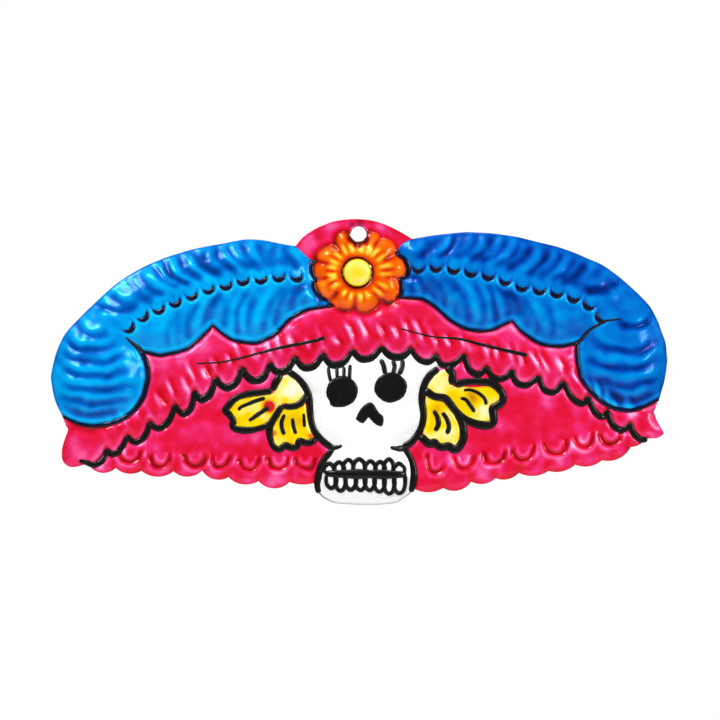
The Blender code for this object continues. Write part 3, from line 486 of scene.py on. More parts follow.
def raiseField(outline, raised, border):  # a field stands proud, rounded down to its own edge
    coarse = 4
    xs, zs = np.meshgrid(mapX[::coarse], mapZ[::coarse])
    away, _ = measured(outline + outline[:1], xs, zs)
    share = np.where(inside(outline, xs, zs), np.clip(away / border, 0, 1), 0)
    form = raised * np.sin(share * math.pi / 2)
    across = np.array([np.interp(mapX, mapX[::coarse], row) for row in form])
    height[:] += np.array([np.interp(mapZ, mapZ[::coarse], column) for column in across.T]).T


def bump(centre, radius, raised, colour=0.0):  # a soft round rise, or only a paler or darker spot
    at, xs, zs = window([centre], 3 * radius)
    form = np.exp(-(((xs - centre[0]) ** 2 + (zs - centre[1]) ** 2) / radius**2))
    height[at] += raised * form
    tint[at] += colour * form


def grain(reach, amount):  # soft unevenness of hand work, about reach mm across
    rough = blurred(rng.standard_normal(height.shape), reach / 2)
    return amount * rough / rough.std()


relief = {"plume": 2.1, "flower": 1.3, "brim": 1.0, "skull": 1.2, "veil": 0.6, "curl": 0.9, "curlRadius": 8.0,
          "rounding": 0.5}
curlMiddles = ((-53.3, -30.3), (54.2, -27.3))
raisedFields = [  # outline, height, width of the rounded border
    (leftPlumeField, relief["plume"], 6.0), (rightPlumeField, relief["plume"], 6.0),
    (petalEdge, relief["flower"], 2.4), (brimField, relief["brim"], 2.6), (skullField, relief["skull"], 3.6),
    (leftVeilField, relief["veil"], 1.6), (rightVeilField, relief["veil"], 1.6),
]
for outline, raised, border in raisedFields:
    raiseField(outline, raised, border)
for centre in curlMiddles:
    bump(centre, relief["curlRadius"], relief["curl"])
fieldForm = blurred(height, relief["rounding"])
height[:] = 0
print("relief: fields raised")

# The barbs and the curved grooves on the lobes are darker in colour: lacquer pooled in the grooves, with
# painted shade.
barb = {"pitch": 2.85, "shift": 0.22, "depth": 0.17, "width": 0.88, "rim": 0.06, "clear": 1.6, "bend": 0.58,
        "fade": 0.24, "colour": 0.52}
barbRows = [  # edge, first, last, lean, bold
    ("outer", 0.04, 0.66, 4.2, 1.0), ("under", 0.06, 0.93, 6.0, 0.62)]
smile = {"depth": 0.17, "width": 0.85, "rim": 0.06, "fade": 0.3, "colour": 0.32}


def barbs(side, edge, first, last, lean, bold):  # grooves from the edge that sweep in to the quill
    plume = plumes[side]
    quill = np.array(plume["quill"])
    run = np.concatenate([[0], np.cumsum(np.hypot(*np.diff(quill, axis=0).T))])
    count = round((last - first) * pathLength(edge) / barb["pitch"])
    for i in range(count):
        shift = rng.uniform(-barb["shift"], barb["shift"])
        start, _ = along(edge, first + (last - first) * (i + shift) / count)
        foot = int(np.argmin(np.hypot(*(quill - start).T)))
        root = quill[int(np.argmin(np.abs(run - (run[foot] - lean))))]
        away = (start - quill[foot]) / np.hypot(*(start - quill[foot]))
        end = root + away * barb["clear"]
        bend = start * (1 - barb["bend"]) + quill[foot] * barb["bend"]
        strength = bold * rng.uniform(0.55, 1.2)
        press(bent(start, bend, end), barb["depth"] * strength, barb["width"] * rng.uniform(0.8, 1.25),
              rim=barb["rim"] * strength, fade=barb["fade"], colour=barb["colour"] * strength)


for side in sides:
    for edge, first, last, lean, bold in barbRows:
        barbs(side, plumes[side][edge], first, last, lean, bold)
    for x0, z0, sag, x1, z1 in plumes[side]["smiles"]:
        strength = rng.uniform(0.7, 1.15)
        press(arc((x0, z0), ((x0 + x1) / 2, (z0 + z1) / 2 + sag), (x1, z1)), smile["depth"] * strength,
              smile["width"], smile["rim"], smile["fade"], smile["colour"] * strength)

lobePaleness = -0.3  # the colour is paler over the lower lobes
lobes = [((-37.5, -19.5), 6.5), ((-22.0, -17.0), 6.5), ((24.0, -14.5), 6.5), ((38.5, -18.0), 6.0)]
for centre, radius in lobes:
    bump(centre, radius, 0.0, lobePaleness)
print("relief: plumes")

# Each stamped U in the hem is darker in colour: lacquer pooled in the dent, with painted shade.
uMark = {"radius": 2.1, "stretch": 1.2, "width": 0.5, "depth": 0.2, "rim": 0.17, "fade": 0.12, "colour": 0.5}
hemDent = {"rise": 0.1, "radius": 1.4, "crease": 0.09, "creaseWidth": 0.55, "colour": -0.1}
hemMarks = [  # x, z, tilt
    (-47, -46.7, 0.0), (-40.9, -47.5, 0.0), (-33.8, -47.5, 0.0), (-28.4, -47.5, -0.05), (-22.5, -48.1, 0.0),
    (-16.4, -48.1, 0.0), (-10.9, -48.2, 0.0), (16.0, -48.5, -0.5), (21.8, -48.0, 0.1), (28.0, -46.8, 0.1),
    (33.7, -45.8, 0.1), (40.6, -44.9, 0.15), (46.2, -43.5, 0.2), (51.9, -42.9, 0.15)]
for x, z, tilt in hemMarks:
    u = [(x + uMark["radius"] * math.cos(a + tilt),
          z + uMark["radius"] * (1 + uMark["stretch"] * math.sin(a + tilt)))
         for a in np.linspace(math.radians(-196), math.radians(16), 20)]
    press(u, uMark["depth"], uMark["width"], uMark["rim"], uMark["fade"], uMark["colour"])
for side in sides:
    for i in range(1, len(hem[side]) - 1, 2):
        before, (lx, lz), after = hem[side][i - 1:i + 2]
        bump((lx, lz + hemDent["radius"]), hemDent["radius"], hemDent["rise"], hemDent["colour"] / 2)
        for x, z in (before, after):
            press([(x, z), (x + 0.1 * (lx - x), z + 2.0)], hemDent["crease"], hemDent["creaseWidth"], fade=0,
                  colour=hemDent["colour"])

# Each ruffle of the brim: a raised streak in painted highlight, and beside it a groove in painted shade.
ruffle = {"length": 5.0, "lean": 0.5, "ridge": -0.2, "ridgeWidth": 0.42, "ridgeHighlight": -0.55, "groove": 0.12,
          "grooveWidth": 0.5, "grooveShade": 0.2, "faintLeftOf": -42, "faint": 0.35}
for i in range(2, len(brimStops) - 2, 2):
    cusp, low = brimStops[i:i + 2]
    for x, z in (cusp, (low[0], low[1] + 2.6)):
        reach = ruffle["length"] * rng.uniform(0.7, 1.25)
        lean = ruffle["lean"] * rng.uniform(0.7, 1.2)
        bold = ruffle["faint"] if x < ruffle["faintLeftOf"] else 1.0
        press([(x + 0.5, z + 0.6), (x + 0.5 - lean * reach, z + 0.6 + reach)],
              ruffle["ridge"] * bold * rng.uniform(0.5, 1.2), ruffle["ridgeWidth"], fade=0.4,
              colour=ruffle["ridgeHighlight"] * bold)
        press([(x + 1.4, z + 1.0), (x + 1.4 - lean * reach, z + 1.0 + reach)], ruffle["groove"] * bold,
              ruffle["grooveWidth"], fade=0.35, colour=ruffle["grooveShade"] * bold)


def wandering(values, reach, amount):  # the same marks, moved a little this way and that as a hand would
    xs, zs = np.meshgrid(mapX, mapZ)
    return read(values, xs + grain(reach, amount), zs + grain(reach, amount))


wander = {"reach": 2.6, "amount": 0.24}  # mm
height[:], tint[:] = wandering(height, **wander), wandering(tint, **wander)
print("relief: brim and hem")

height += fieldForm
quillMark = {"radius": 1.45, "bite": 1.4, "shift": 0.72, "depth": 0.3, "edge": 0.12, "rim": 0.1,
             "rimAway": 0.35, "rimWidth": 0.25, "rimHighlight": -0.3, "turn": {"left": 0.1, "right": 0.0},
             "uneven": 0.1}
markPlaces = {}
for side in sides:
    plume = plumes[side]
    total, markPlaces[side] = pathLength(plume["quill"]), []
    for i in range(plume["marks"]):
        share = (plume["firstMark"] + (total - plume["firstMark"]) * i / (plume["marks"] - 1)) / total
        centre, way = along(plume["quill"], share)
        tilt = math.atan2(way[1], way[0]) if way[0] > 0 else math.atan2(-way[1], -way[0])
        tilt += rng.uniform(-quillMark["uneven"], quillMark["uneven"]) + quillMark["turn"][side]
        markPlaces[side].append((centre, tilt))
        at, xs, zs = window([centre], 4)
        up = np.array([-math.sin(tilt), math.cos(tilt)])
        dx, dz = xs - centre[0], zs - centre[1]
        outer = np.hypot(dx, dz) - quillMark["radius"]
        inner = quillMark["bite"] - np.hypot(dx - up[0] * quillMark["shift"], dz - up[1] * quillMark["shift"])
        out = np.maximum(outer, inner)
        below = 1 / (1 + np.exp((dx * up[0] + dz * up[1] + 0.2) / 0.3))
        halo = np.exp(-(((outer - quillMark["rimAway"]) / quillMark["rimWidth"]) ** 2)) * below
        height[at] += quillMark["rim"] * halo - quillMark["depth"] / (1 + np.exp(out / quillMark["edge"]))
        # The pushed-up rim below each dent is paler: painted highlight.
        tint[at] += quillMark["rimHighlight"] * halo

# Raised rays on the petals carry painted highlights; the grooves between the petals and down their middles
# are darker, lacquer pooled with painted shade.
petalMark = {"ray": -0.18, "rayWidth": 0.46, "rayHighlight": -0.6, "valley": 0.14, "valleyWidth": 0.5,
             "middle": 0.08, "middleWidth": 0.36, "turn": 8.5}
bossForm = {"raised": 0.75, "ditch": 0.32, "ditchAway": 0.32, "ditchWidth": 0.22}
at, xs, zs = window([flower["centre"]], 5)
fromBoss = np.hypot(xs - flower["centre"][0], zs - flower["centre"][1])
boss = np.sqrt(np.clip(1 - (fromBoss / (flower["bossRadius"] + 0.25)) ** 2, 0, 1))
ditch = (fromBoss - flower["bossRadius"] - bossForm["ditchAway"]) / bossForm["ditchWidth"]
height[at] += bossForm["raised"] * boss - bossForm["ditch"] * np.exp(-(ditch**2))
for i, (angle, radius) in enumerate(flower["tips"]):
    for turn in (-petalMark["turn"], petalMark["turn"]):
        ray = [fromFlower(angle + turn * (1.1 - 0.02 * r), r) for r in np.linspace(3.7, radius - 2.4, 6)]
        press(ray, petalMark["ray"] * rng.uniform(0.7, 1.2), petalMark["rayWidth"], fade=0.4,
              colour=petalMark["rayHighlight"] * rng.uniform(0.5, 1.1))
    middle, valley = np.array(flower["centre"]), np.array(flower["valleys"][i])
    groove = [tuple(middle * (1 - t) + valley * t) for t in np.linspace(0.6, 1.0, 5)]
    press(groove, petalMark["valley"], petalMark["valleyWidth"], fade=0.4, colour=0.3)
    press([fromFlower(angle, 4.2), fromFlower(angle, radius - 2.0)], petalMark["middle"],
          petalMark["middleWidth"], fade=0.3, colour=0.2)
bossEdge = ring(flower["centre"], flower["bossRadius"] + 0.42, flower["bossRadius"] + 0.22)
underCurl = curved([(-60.6, -38.5), (-57.0, -39.8), (-53.5, -40.1), (-49.0, -38.8)])
paintedShadeEdges = [  # darker colour along edges, round the boss and under the lobe and petals: painted shade, with lacquer pooled at the edges: path, width, fade, colour
    (petalEdge + petalEdge[:1], 0.55, 0, 0.55), (petals(2, 5), 0.8, 0.2, 0.5), (petals(7, 9), 0.7, 0.2, 0.5),
    (bossEdge + bossEdge[:1], 0.2, 0, 0.35), (crownEdge, 0.35, 0, 0.5), (underCurl, 0.55, 0.3, 1.1),
    (plumes["left"]["outer"], 0.4, 0, 0.35), (hem["leftEdge"], 0.3, 0, 0.35),
    (plumes["right"]["outer"], 0.4, 0, 0.35), (hem["rightEdge"], 0.3, 0, 0.35),
]
for path, width, fade, colour in paintedShadeEdges:
    press(path, 0.0, width, fade=fade, colour=colour)
bump(flower["centre"], 1.5, 0.0, 0.6)
print("relief: flower")

stains = [  # place, radius, amount: red run into the leaves, and dark spots round the hole
    ((-18.4, -35.5), 1.3, 1.4), ((-17.5, -41.0), 0.7, 0.8), ((-9.7, -41.6), 0.8, 0.8),
    ((-13.9, -43.3), 0.5, 0.6), ((0.3, 2.2), 0.9, 0.6), ((-1.3, 1.8), 0.7, 0.5), ((-1.6, -0.9), 0.6, 0.6),
    ((1.5, -1.2), 0.7, 0.5), ((0.2, -2.2), 0.8, 0.5), ((2.2, 0.6), 0.6, 0.4)]
lacquerAndLightPatches = [  # place, radius, colour: thin and thick lacquer on the leaves with painted highlights and shade, and painted highlights on the crown's upper rim
    ((-13.6, -32.0), 2.0, -0.9), ((-22.0, -35.2), 1.6, -0.4), ((-15.2, -34.0), 0.7, 0.7),
    ((16.8, -31.2), 1.6, -0.5), ((23.5, -34.2), 1.3, 0.6), ((26.0, -36.6), 1.5, -0.5),
    ((16.0, -36.0), 1.2, 0.5), ((-6.0, 1.2), 2.2, -0.35), ((5.0, 1.0), 2.6, -0.3), ((-9.0, -2.5), 2.2, -0.4),
    ((-10.3, -0.8), 1.6, -0.4)]
for centre, radius, amount in stains:
    dab(centre, radius, amount)
for centre, radius, colour in lacquerAndLightPatches:
    bump(centre, radius, 0.0, colour)
chased = [  # path, depth, width, rim: grooves that part one field from the next
    *((plumes[side][edge], 0.16, 0.5, 0.12) for side in sides for edge in ("under", "curl")),
    (brimEdge, 0.12, 0.6, 0.1), *((skullLines[side]["cheek"], 0.1, 0.6, 0.1) for side in sides)]
for path, depth, width, rim in chased:
    press(path, depth, width, rim, fade=0)
height += grain(4.0, 0.1) + grain(1.3, 0.035)
punch = {"easing": 0.7, "burr": 0.22, "away": 0.12, "width": 0.16, "uneven": 0.5}
mapXs, mapZs = np.meshgrid(mapX, mapZ)
fromHole = np.hypot(mapXs, mapZs)
height *= np.clip((fromHole - hole["radius"]) / (hole["flatRound"] - hole["radius"]), 0, 1) ** punch["easing"]
burr = punch["burr"] * np.exp(-(((fromHole - hole["radius"] - punch["away"]) / punch["width"]) ** 2))
height += burr * (1 + punch["uneven"] * np.sin(3 * np.arctan2(mapZs, mapXs)))

# The lacquer's colour follows the relief: deeper in the valleys, where it pools and painted shade is added,
# and paler on the ridges, where it is thin and painted highlights are added.
flow = {"reach": 1.3, "fullDepth": 0.3, "soften": 0.12, "most": 1.5, "underCoats": 0.3, "underLines": 0.45}
fine = height - fieldForm
poolAndPaintedLight = (blurred(fine, flow["reach"]) - fine) / flow["fullDepth"] + tint  # above 0 in the valleys
poolAndPaintedLight = np.clip(blurred(poolAndPaintedLight, flow["soften"]), -flow["most"], flow["most"])
height += sheet["thickness"] + sheet["gap"]  # the sheet's back lies at y = 0
soft = np.minimum(blurred(height, flow["underCoats"]), height)  # what the metal under the coats does
bed = np.maximum(blurred(height, flow["underLines"]), height)  # what the thick enamel lines lie on
print("relief: done,", round(float(height.max()), 2), "mm high")


def linear(hexColour):  # an sRGB hex colour as linear light
    channels = [int(hexColour[i:i + 2], 16) / 255 for i in (1, 3, 5)]
    return (*[c / 12.92 if c <= 0.04045 else ((c + 0.055) / 1.055) ** 2.4 for c in channels], 1.0)


def add(tree, kind, inputs=None, **settings):  # one node, with its settings and links
    node = tree.nodes.new(kind)
    for name, value in settings.items():
        setattr(node, name, value)
    for key, value in (inputs or {}).items():
        socket = node.inputs[key]
        if isinstance(value, bpy.types.NodeSocket):
            tree.links.new(value, socket)
        else:
            socket.default_value = value
    return node


def newMaterial(name, **fixed):
    material = bpy.data.materials.new(name)
    material.use_nodes = True
    tree = material.node_tree
    tree.nodes.clear()
    shader = add(tree, "ShaderNodeBsdfPrincipled", fixed)
    add(tree, "ShaderNodeOutputMaterial", {"Surface": shader.outputs["BSDF"]})
    return material, tree, shader


def setRamp(ramp, stops):
    elements = ramp.color_ramp.elements
    while len(elements) < len(stops):
        elements.new(0.5)
    for element, (place, colour) in zip(elements, stops):
        element.position, element.color = place, linear(colour)


# Sizes of clouds, streaks, brush marks, rolling lines and blotches are in mm.
lacquerLook = {"cloud": 7.0, "streak": 1.4, "streaks": 0.16, "rough": (0.16, 0.3), "ripple": 0.05}
enamelLook = {"drag": 2.5, "mark": 1.1, "ripple": 0.15}
tinLook = {"drawn": 0.03, "line": 0.3, "blotch": 9.0, "rough": (0.2, 0.42), "ripple": 0.1}
rippleDepth = {"paint": 0.1 * mm, "tin": 0.03 * mm}


def lacquer(name, stops, metallic=0.12, mottle=0.6, stainColour="#5c0814", gloss=0.2):
    # Clear coloured lacquer flowed over bright tin: pale on the ridges, where it is thin and highlights are
    # painted in, deep in the valleys, where it pools and shade is painted in, with the smooth wet gloss of a
    # thick coat and slow clouds of colour from the brush.
    material, tree, shader = newMaterial(name, **{
        "Metallic": metallic, "IOR": 1.5, "Specular IOR Level": 0.6 * gloss, "Coat Weight": gloss,
        "Coat Roughness": 0.08, "Coat IOR": 1.5})
    place = add(tree, "ShaderNodeTexCoord").outputs["Object"]
    depth = add(tree, "ShaderNodeAttribute", attribute_name="poolAndPaintedLight").outputs["Fac"]
    clouds = add(tree, "ShaderNodeTexNoise", {"Vector": place, "Scale": 1 / (lacquerLook["cloud"] * mm),
                                              "Detail": 3.0, "Roughness": 0.55})
    streaks = add(tree, "ShaderNodeTexNoise", {"Vector": place, "Scale": 1 / (lacquerLook["streak"] * mm),
                                               "Detail": 2.0})
    cloudy = add(tree, "ShaderNodeMath", {0: clouds.outputs["Fac"], 1: 0.5}, operation="SUBTRACT").outputs[0]
    cloudy = add(tree, "ShaderNodeMath", {0: cloudy, 1: mottle}, operation="MULTIPLY").outputs[0]
    fine = add(tree, "ShaderNodeMath", {0: streaks.outputs["Fac"], 1: 0.5}, operation="SUBTRACT").outputs[0]
    total = add(tree, "ShaderNodeMath", {0: fine, 1: lacquerLook["streaks"], 2: cloudy},
                operation="MULTIPLY_ADD").outputs[0]
    total = add(tree, "ShaderNodeMath", {0: depth, 1: total}, operation="ADD").outputs[0]
    spread = add(tree, "ShaderNodeMapRange", {"Value": total, "From Min": -1.0, "From Max": 1.0}).outputs[0]
    ramp = add(tree, "ShaderNodeValToRGB", {"Fac": spread})
    setRamp(ramp, stops)
    stained = add(tree, "ShaderNodeAttribute", attribute_name="stain").outputs["Fac"]
    mixed = add(tree, "ShaderNodeMix", {"Factor": stained, 6: ramp.outputs["Color"], 7: linear(stainColour)},
                data_type="RGBA")
    tree.links.new(mixed.outputs[2], shader.inputs["Base Color"])
    low, high = lacquerLook["rough"]
    rough = add(tree, "ShaderNodeMapRange", {"Value": streaks.outputs["Fac"], "To Min": low, "To Max": high})
    ripple = add(tree, "ShaderNodeBump", {"Height": streaks.outputs["Fac"], "Strength": lacquerLook["ripple"],
                                          "Distance": rippleDepth["paint"]})
    tree.links.new(rough.outputs[0], shader.inputs["Roughness"])
    tree.links.new(ripple.outputs["Normal"], shader.inputs["Normal"])
    tree.links.new(ripple.outputs["Normal"], shader.inputs["Coat Normal"])
    return material


def enamel(name, light, dark, roughness, coatWeight):
    # Opaque gloss enamel, brushed on thick: an even colour with faint brush drag and a soft sheen.
    material, tree, shader = newMaterial(name, **{
        "Metallic": 0.0, "IOR": 1.5, "Specular IOR Level": 0.2, "Coat Weight": coatWeight,
        "Coat Roughness": 0.1, "Coat IOR": 1.5})
    place = add(tree, "ShaderNodeTexCoord").outputs["Object"]
    drag = add(tree, "ShaderNodeMapping", {"Vector": place, "Scale": (1.0, 1.0, enamelLook["drag"])})
    marks = add(tree, "ShaderNodeTexNoise", {"Vector": drag.outputs[0], "Detail": 3.0,
                                             "Scale": 1 / (enamelLook["mark"] * mm)})
    ramp = add(tree, "ShaderNodeValToRGB", {"Fac": marks.outputs["Fac"]})
    setRamp(ramp, [(0.3, dark), (0.7, light)])
    tree.links.new(ramp.outputs["Color"], shader.inputs["Base Color"])
    rough = add(tree, "ShaderNodeMapRange",
                {"Value": marks.outputs["Fac"], "To Min": roughness * 0.75, "To Max": roughness * 1.3})
    ripple = add(tree, "ShaderNodeBump", {"Height": marks.outputs["Fac"], "Strength": enamelLook["ripple"],
                                          "Distance": rippleDepth["paint"]})
    tree.links.new(rough.outputs[0], shader.inputs["Roughness"])
    tree.links.new(ripple.outputs["Normal"], shader.inputs["Normal"])
    return material


def tinplate():
    # Cold-rolled tinplate: bright grey metal, fine rolling lines along the sheet, dull blotches of handling.
    material, tree, shader = newMaterial("rolledTinplate", **{"Metallic": 1.0})
    place = add(tree, "ShaderNodeTexCoord").outputs["Object"]
    rolled = add(tree, "ShaderNodeMapping", {"Vector": place, "Scale": (tinLook["drawn"], 1.0, 1.0)})
    lines = add(tree, "ShaderNodeTexNoise", {"Vector": rolled.outputs[0], "Scale": 1 / (tinLook["line"] * mm),
                                             "Detail": 4.0})
    blotches = add(tree, "ShaderNodeTexNoise", {"Vector": place, "Scale": 1 / (tinLook["blotch"] * mm),
                                                "Detail": 4.0})
    mixed = add(tree, "ShaderNodeMath", {0: lines.outputs["Fac"], 1: blotches.outputs["Fac"]},
                operation="ADD")
    half = add(tree, "ShaderNodeMath", {0: mixed.outputs[0], 1: 0.5}, operation="MULTIPLY").outputs[0]
    ramp = add(tree, "ShaderNodeValToRGB", {"Fac": half})
    setRamp(ramp, [(0.3, "#9b9c98"), (0.7, "#d9dad6")])
    tree.links.new(ramp.outputs["Color"], shader.inputs["Base Color"])
    low, high = tinLook["rough"]
    rough = add(tree, "ShaderNodeMapRange", {"Value": half, "From Min": 0.3, "From Max": 0.7, "To Min": low,
                                             "To Max": high})
    ripple = add(tree, "ShaderNodeBump", {"Height": lines.outputs["Fac"], "Strength": tinLook["ripple"],
                                          "Distance": rippleDepth["tin"]})
    tree.links.new(rough.outputs[0], shader.inputs["Roughness"])
    tree.links.new(ripple.outputs["Normal"], shader.inputs["Normal"])
    return material


pinkLacquer = lacquer("pinkLacquerOnTin", [
    (0.0, "#ffb8dc"), (0.18, "#fc64a4"), (0.36, "#f02c74"), (0.5, "#e81848"), (0.66, "#e00c30"),
    (0.84, "#c40620"), (1.0, "#980418")], mottle=1.5)
leftBlueLacquer = lacquer("skyBlueLacquerOnTin", [
    (0.0, "#1cd8ff"), (0.25, "#00b8fc"), (0.45, "#009aea"), (0.62, "#0074d0"), (0.8, "#0056b4"),
    (1.0, "#003884")], metallic=0.08, gloss=0.08)
rightBlueLacquer = lacquer("deepBlueLacquerOnTin", [
    (0.0, "#10b8f4"), (0.25, "#0092e6"), (0.45, "#0076d2"), (0.62, "#0058be"), (0.8, "#003c9c"),
    (1.0, "#00246c")], metallic=0.08, gloss=0.08)
orangeLacquer = lacquer("orangeLacquerOnTin", [
    (0.0, "#ffe45c"), (0.22, "#ffb41c"), (0.42, "#ff7c00"), (0.6, "#f45000"), (0.8, "#bc2400"),
    (1.0, "#581000")], mottle=0.3)
yellowLacquer = lacquer("yellowLacquerOnTin", [
    (0.0, "#fff48c"), (0.3, "#ffe83c"), (0.5, "#ffdc00"), (0.75, "#f0c000"), (1.0, "#806000")],
    stainColour="#604800")
leafYellowLacquer = lacquer("leafYellowLacquerOnTin", [
    (0.0, "#fffce0"), (0.28, "#fff48c"), (0.48, "#ffe000"), (0.72, "#f0b800"), (1.0, "#a87000")], mottle=1.8,
    stainColour="#d81c20")
whiteEnamel = enamel("whiteGlossEnamel", "#f7f7f6", "#eeefee", 0.35, 0.4)
blackEnamel = enamel("blackGlossEnamel", "#0c0c09", "#060604", 0.34, 0.18)
navyEnamel = enamel("navyGlossEnamel", "#06103a", "#030716", 0.25, 0.35)
rolledTin = tinplate()
print("materials: done")

scene = bpy.context.scene
meshing = {"sharpAngle": math.radians(50), "rowGap": 0.866, "edgeClear": 0.45, "snap": 1e-5}


def placed(name, data):  # a new object in the scene, at the origin
    made = bpy.data.objects.new(name, data)
    scene.collection.objects.link(made)
    return made


def toMesh(name, verts, faces, material):
    mesh = bpy.data.meshes.new(name)
    mesh.from_pydata(verts, [], faces)
    mesh.materials.append(material)
    mesh.shade_smooth()
    mesh.set_sharp_from_angle(angle=meshing["sharpAngle"])
    return placed(name, mesh)


def filled(outlines, cuts, pitch):  # triangles over the outlines' union, less the cuts: points and faces
    corners, rings = [], []
    for outline in [*outlines, *cuts]:
        turned = sum(a[0] * b[1] - b[0] * a[1] for a, b in zip(outline, outline[1:] + outline[:1]))
        outline = outline if turned > 0 else outline[::-1]
        rings.append(list(range(len(corners), len(corners) + len(outline))))
        corners += outline
    p = np.array([point for outline in outlines for point in outline])
    (x0, z0), (x1, z1) = p.min(0), p.max(0)
    xs, zs = np.meshgrid(np.arange(x0, x1, pitch), np.arange(z0, z1, pitch * meshing["rowGap"]))
    xs[1::2] += pitch / 2
    keep = np.zeros(xs.shape, bool)
    for outline in outlines:
        keep |= inside(outline, xs, zs)
    for cut in cuts:
        keep &= ~inside(cut, xs, zs)
    xs, zs = xs[keep], zs[keep]
    away = np.full(xs.shape, np.inf)
    for outline in [*outlines, *cuts]:
        away = np.minimum(away, measured(outline + outline[:1], xs, zs)[0])
    clear = away > meshing["edgeClear"] * pitch
    points = [Vector(c) for c in corners] + [Vector(c) for c in zip(xs[clear].tolist(), zs[clear].tolist())]
    made, _, faces, _, _, sources = delaunay_2d_cdt(points, [], rings, 1, meshing["snap"])
    kept = [f for f, source in zip(faces, sources) if source and max(source) < len(outlines)]
    xs, zs = np.array(made).T
    away = np.zeros(len(made))
    for outline in outlines:
        toEdge = measured(outline + outline[:1], xs, zs)[0]
        away = np.maximum(away, np.where(inside(outline, xs, zs), toEdge, 0))
    for cut in cuts:
        away = np.minimum(away, measured(cut + cut[:1], xs, zs)[0])
    return np.stack([xs, zs], 1), np.array(kept), away


def slab(name, outlines, material, front, back, cuts=(), pitch=0.25):
    # A closed piece over the outlines. front and back give heights from places and the distance to the edge.
    flat, faces, away = filled(outlines, cuts, pitch)
    used = np.unique(faces)
    renumber = np.full(len(flat), -1)
    renumber[used] = np.arange(len(used))
    flat, faces, away = flat[used], renumber[faces], away[used]
    xs, zs = flat.T
    n = len(flat)
    top, bottom = front(xs, zs, away), back(xs, zs, away)
    verts = np.concatenate([np.stack([xs, -top, zs], 1), np.stack([xs, -bottom, zs], 1)]) * mm
    edges = np.concatenate([faces[:, [0, 1]], faces[:, [1, 2]], faces[:, [2, 0]]])
    _, first, count = np.unique(np.sort(edges, 1), axis=0, return_index=True, return_counts=True)
    rims = edges[first[count == 1]]
    walls = [(b, a, a + n, b + n) for a, b in rims.tolist()]
    allFaces = faces.tolist() + (faces[:, ::-1] + n).tolist() + walls
    piece = toMesh(name, verts.tolist(), allFaces, material)
    store(piece, "poolAndPaintedLight", np.tile(read(poolAndPaintedLight, xs, zs), 2))
    store(piece, "stain", np.tile(read(stain, xs, zs), 2))
    return piece


def store(piece, name, values):  # one number a point, for the materials to read
    attribute = piece.data.attributes.new(name, "FLOAT", "POINT")
    attribute.data.foreach_set("value", np.asarray(values, np.float32))


coat = {"lacquer": 0.12, "white": 0.2, "blob": 0.42, "rim": 0.02, "edge": 0.35, "under": -0.03,
        "blobUnder": 0.1}


def onRelief(thickness, edge=coat["edge"]):  # a coat's front, rounded down to its own edge
    def front(xs, zs, away):
        rounded = np.sqrt(np.clip(1 - (1 - np.clip(away / edge, 0, 1)) ** 2, 0, 1))
        return read(height, xs, zs) + coat["rim"] + (thickness - coat["rim"]) * rounded
    return front


def lifted(amount, form=height):  # a face that follows the relief, that much above it
    return lambda xs, zs, away: read(form, xs, zs) + amount


def finished(piece, node, slotName):
    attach(piece, "root")
    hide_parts(node)


# The tin sheet, punched for hanging.
holeRing = ring((0, 0), hole["radius"], hole["radius"] * 0.98, 48)
tinSheet = slab("tin_sheet_embossed", [silhouette], rolledTin, lifted(-sheet["gap"], soft),
                lifted(-sheet["gap"] - sheet["thickness"], soft), cuts=[holeRing], pitch=sheet["pitch"])
finished(tinSheet, "tin_sheet", "bare_tin")
print("tin sheet:", len(tinSheet.data.polygons), "faces")

# Lacquers and white enamel, one coat for each field.
holeInPaint = ring((0, 0), hole["radius"] + 0.14, hole["radius"] + 0.1, 48)
bossRing = ring(flower["centre"], flower["bossRadius"] + 0.3, flower["bossRadius"] + 0.1)
leaves = [earrings[side][part] for side in sides for part in ("upper", "lower")]
coats = [  # node, outlines, cuts, material, slot
    ("crown_lacquer", [crownField], [holeInPaint], pinkLacquer, "pink_lacquer"),
    ("left_plume_lacquer", [leftPlumeField], [], leftBlueLacquer, "blue_lacquer"),
    ("right_plume_lacquer", [rightPlumeField], [], rightBlueLacquer, "blue_lacquer"),
    ("flower_petals_lacquer", [petalEdge], [holeInPaint, bossRing], orangeLacquer, "orange_lacquer"),
    ("flower_centre_lacquer", [bossRing], [], yellowLacquer, "yellow_lacquer"),
    ("brim_lacquer", [brimField], [], pinkLacquer, "pink_lacquer"),
    ("left_veil_lacquer", [leftVeilField], leaves[:2], pinkLacquer, "pink_lacquer"),
    ("right_veil_lacquer", [rightVeilField], leaves[2:], pinkLacquer, "pink_lacquer"),
    ("skull_enamel", [skullField], leaves, whiteEnamel, "white_enamel"),
]
leafNames = [f"{side}_earring_{part}_lacquer" for side in sides for part in ("upper", "lower")]
coats += [(name, [leaf], [], leafYellowLacquer, "yellow_lacquer") for name, leaf in zip(leafNames, leaves)]
for node, outlines, cuts, material, slotName in coats:
    thickness = coat["white"] if material is whiteEnamel else coat["lacquer"]
    piece = slab(node + "_coat", outlines, material, onRelief(thickness), lifted(coat["under"]), cuts)
    finished(piece, node, slotName)
    print(node, len(piece.data.polygons), "faces")


def newTree(name, inputs):  # a modifier's tree that takes and gives one geometry, with named inputs
    tree = bpy.data.node_groups.new(name, "GeometryNodeTree")
    tree.interface.new_socket("Geometry", in_out="INPUT", socket_type="NodeSocketGeometry")
    for label, kind in inputs.items():
        tree.interface.new_socket(label, in_out="INPUT", socket_type=f"NodeSocket{kind}")
    tree.interface.new_socket("Geometry", in_out="OUTPUT", socket_type="NodeSocketGeometry")
    return tree, add(tree, "NodeGroupInput").outputs


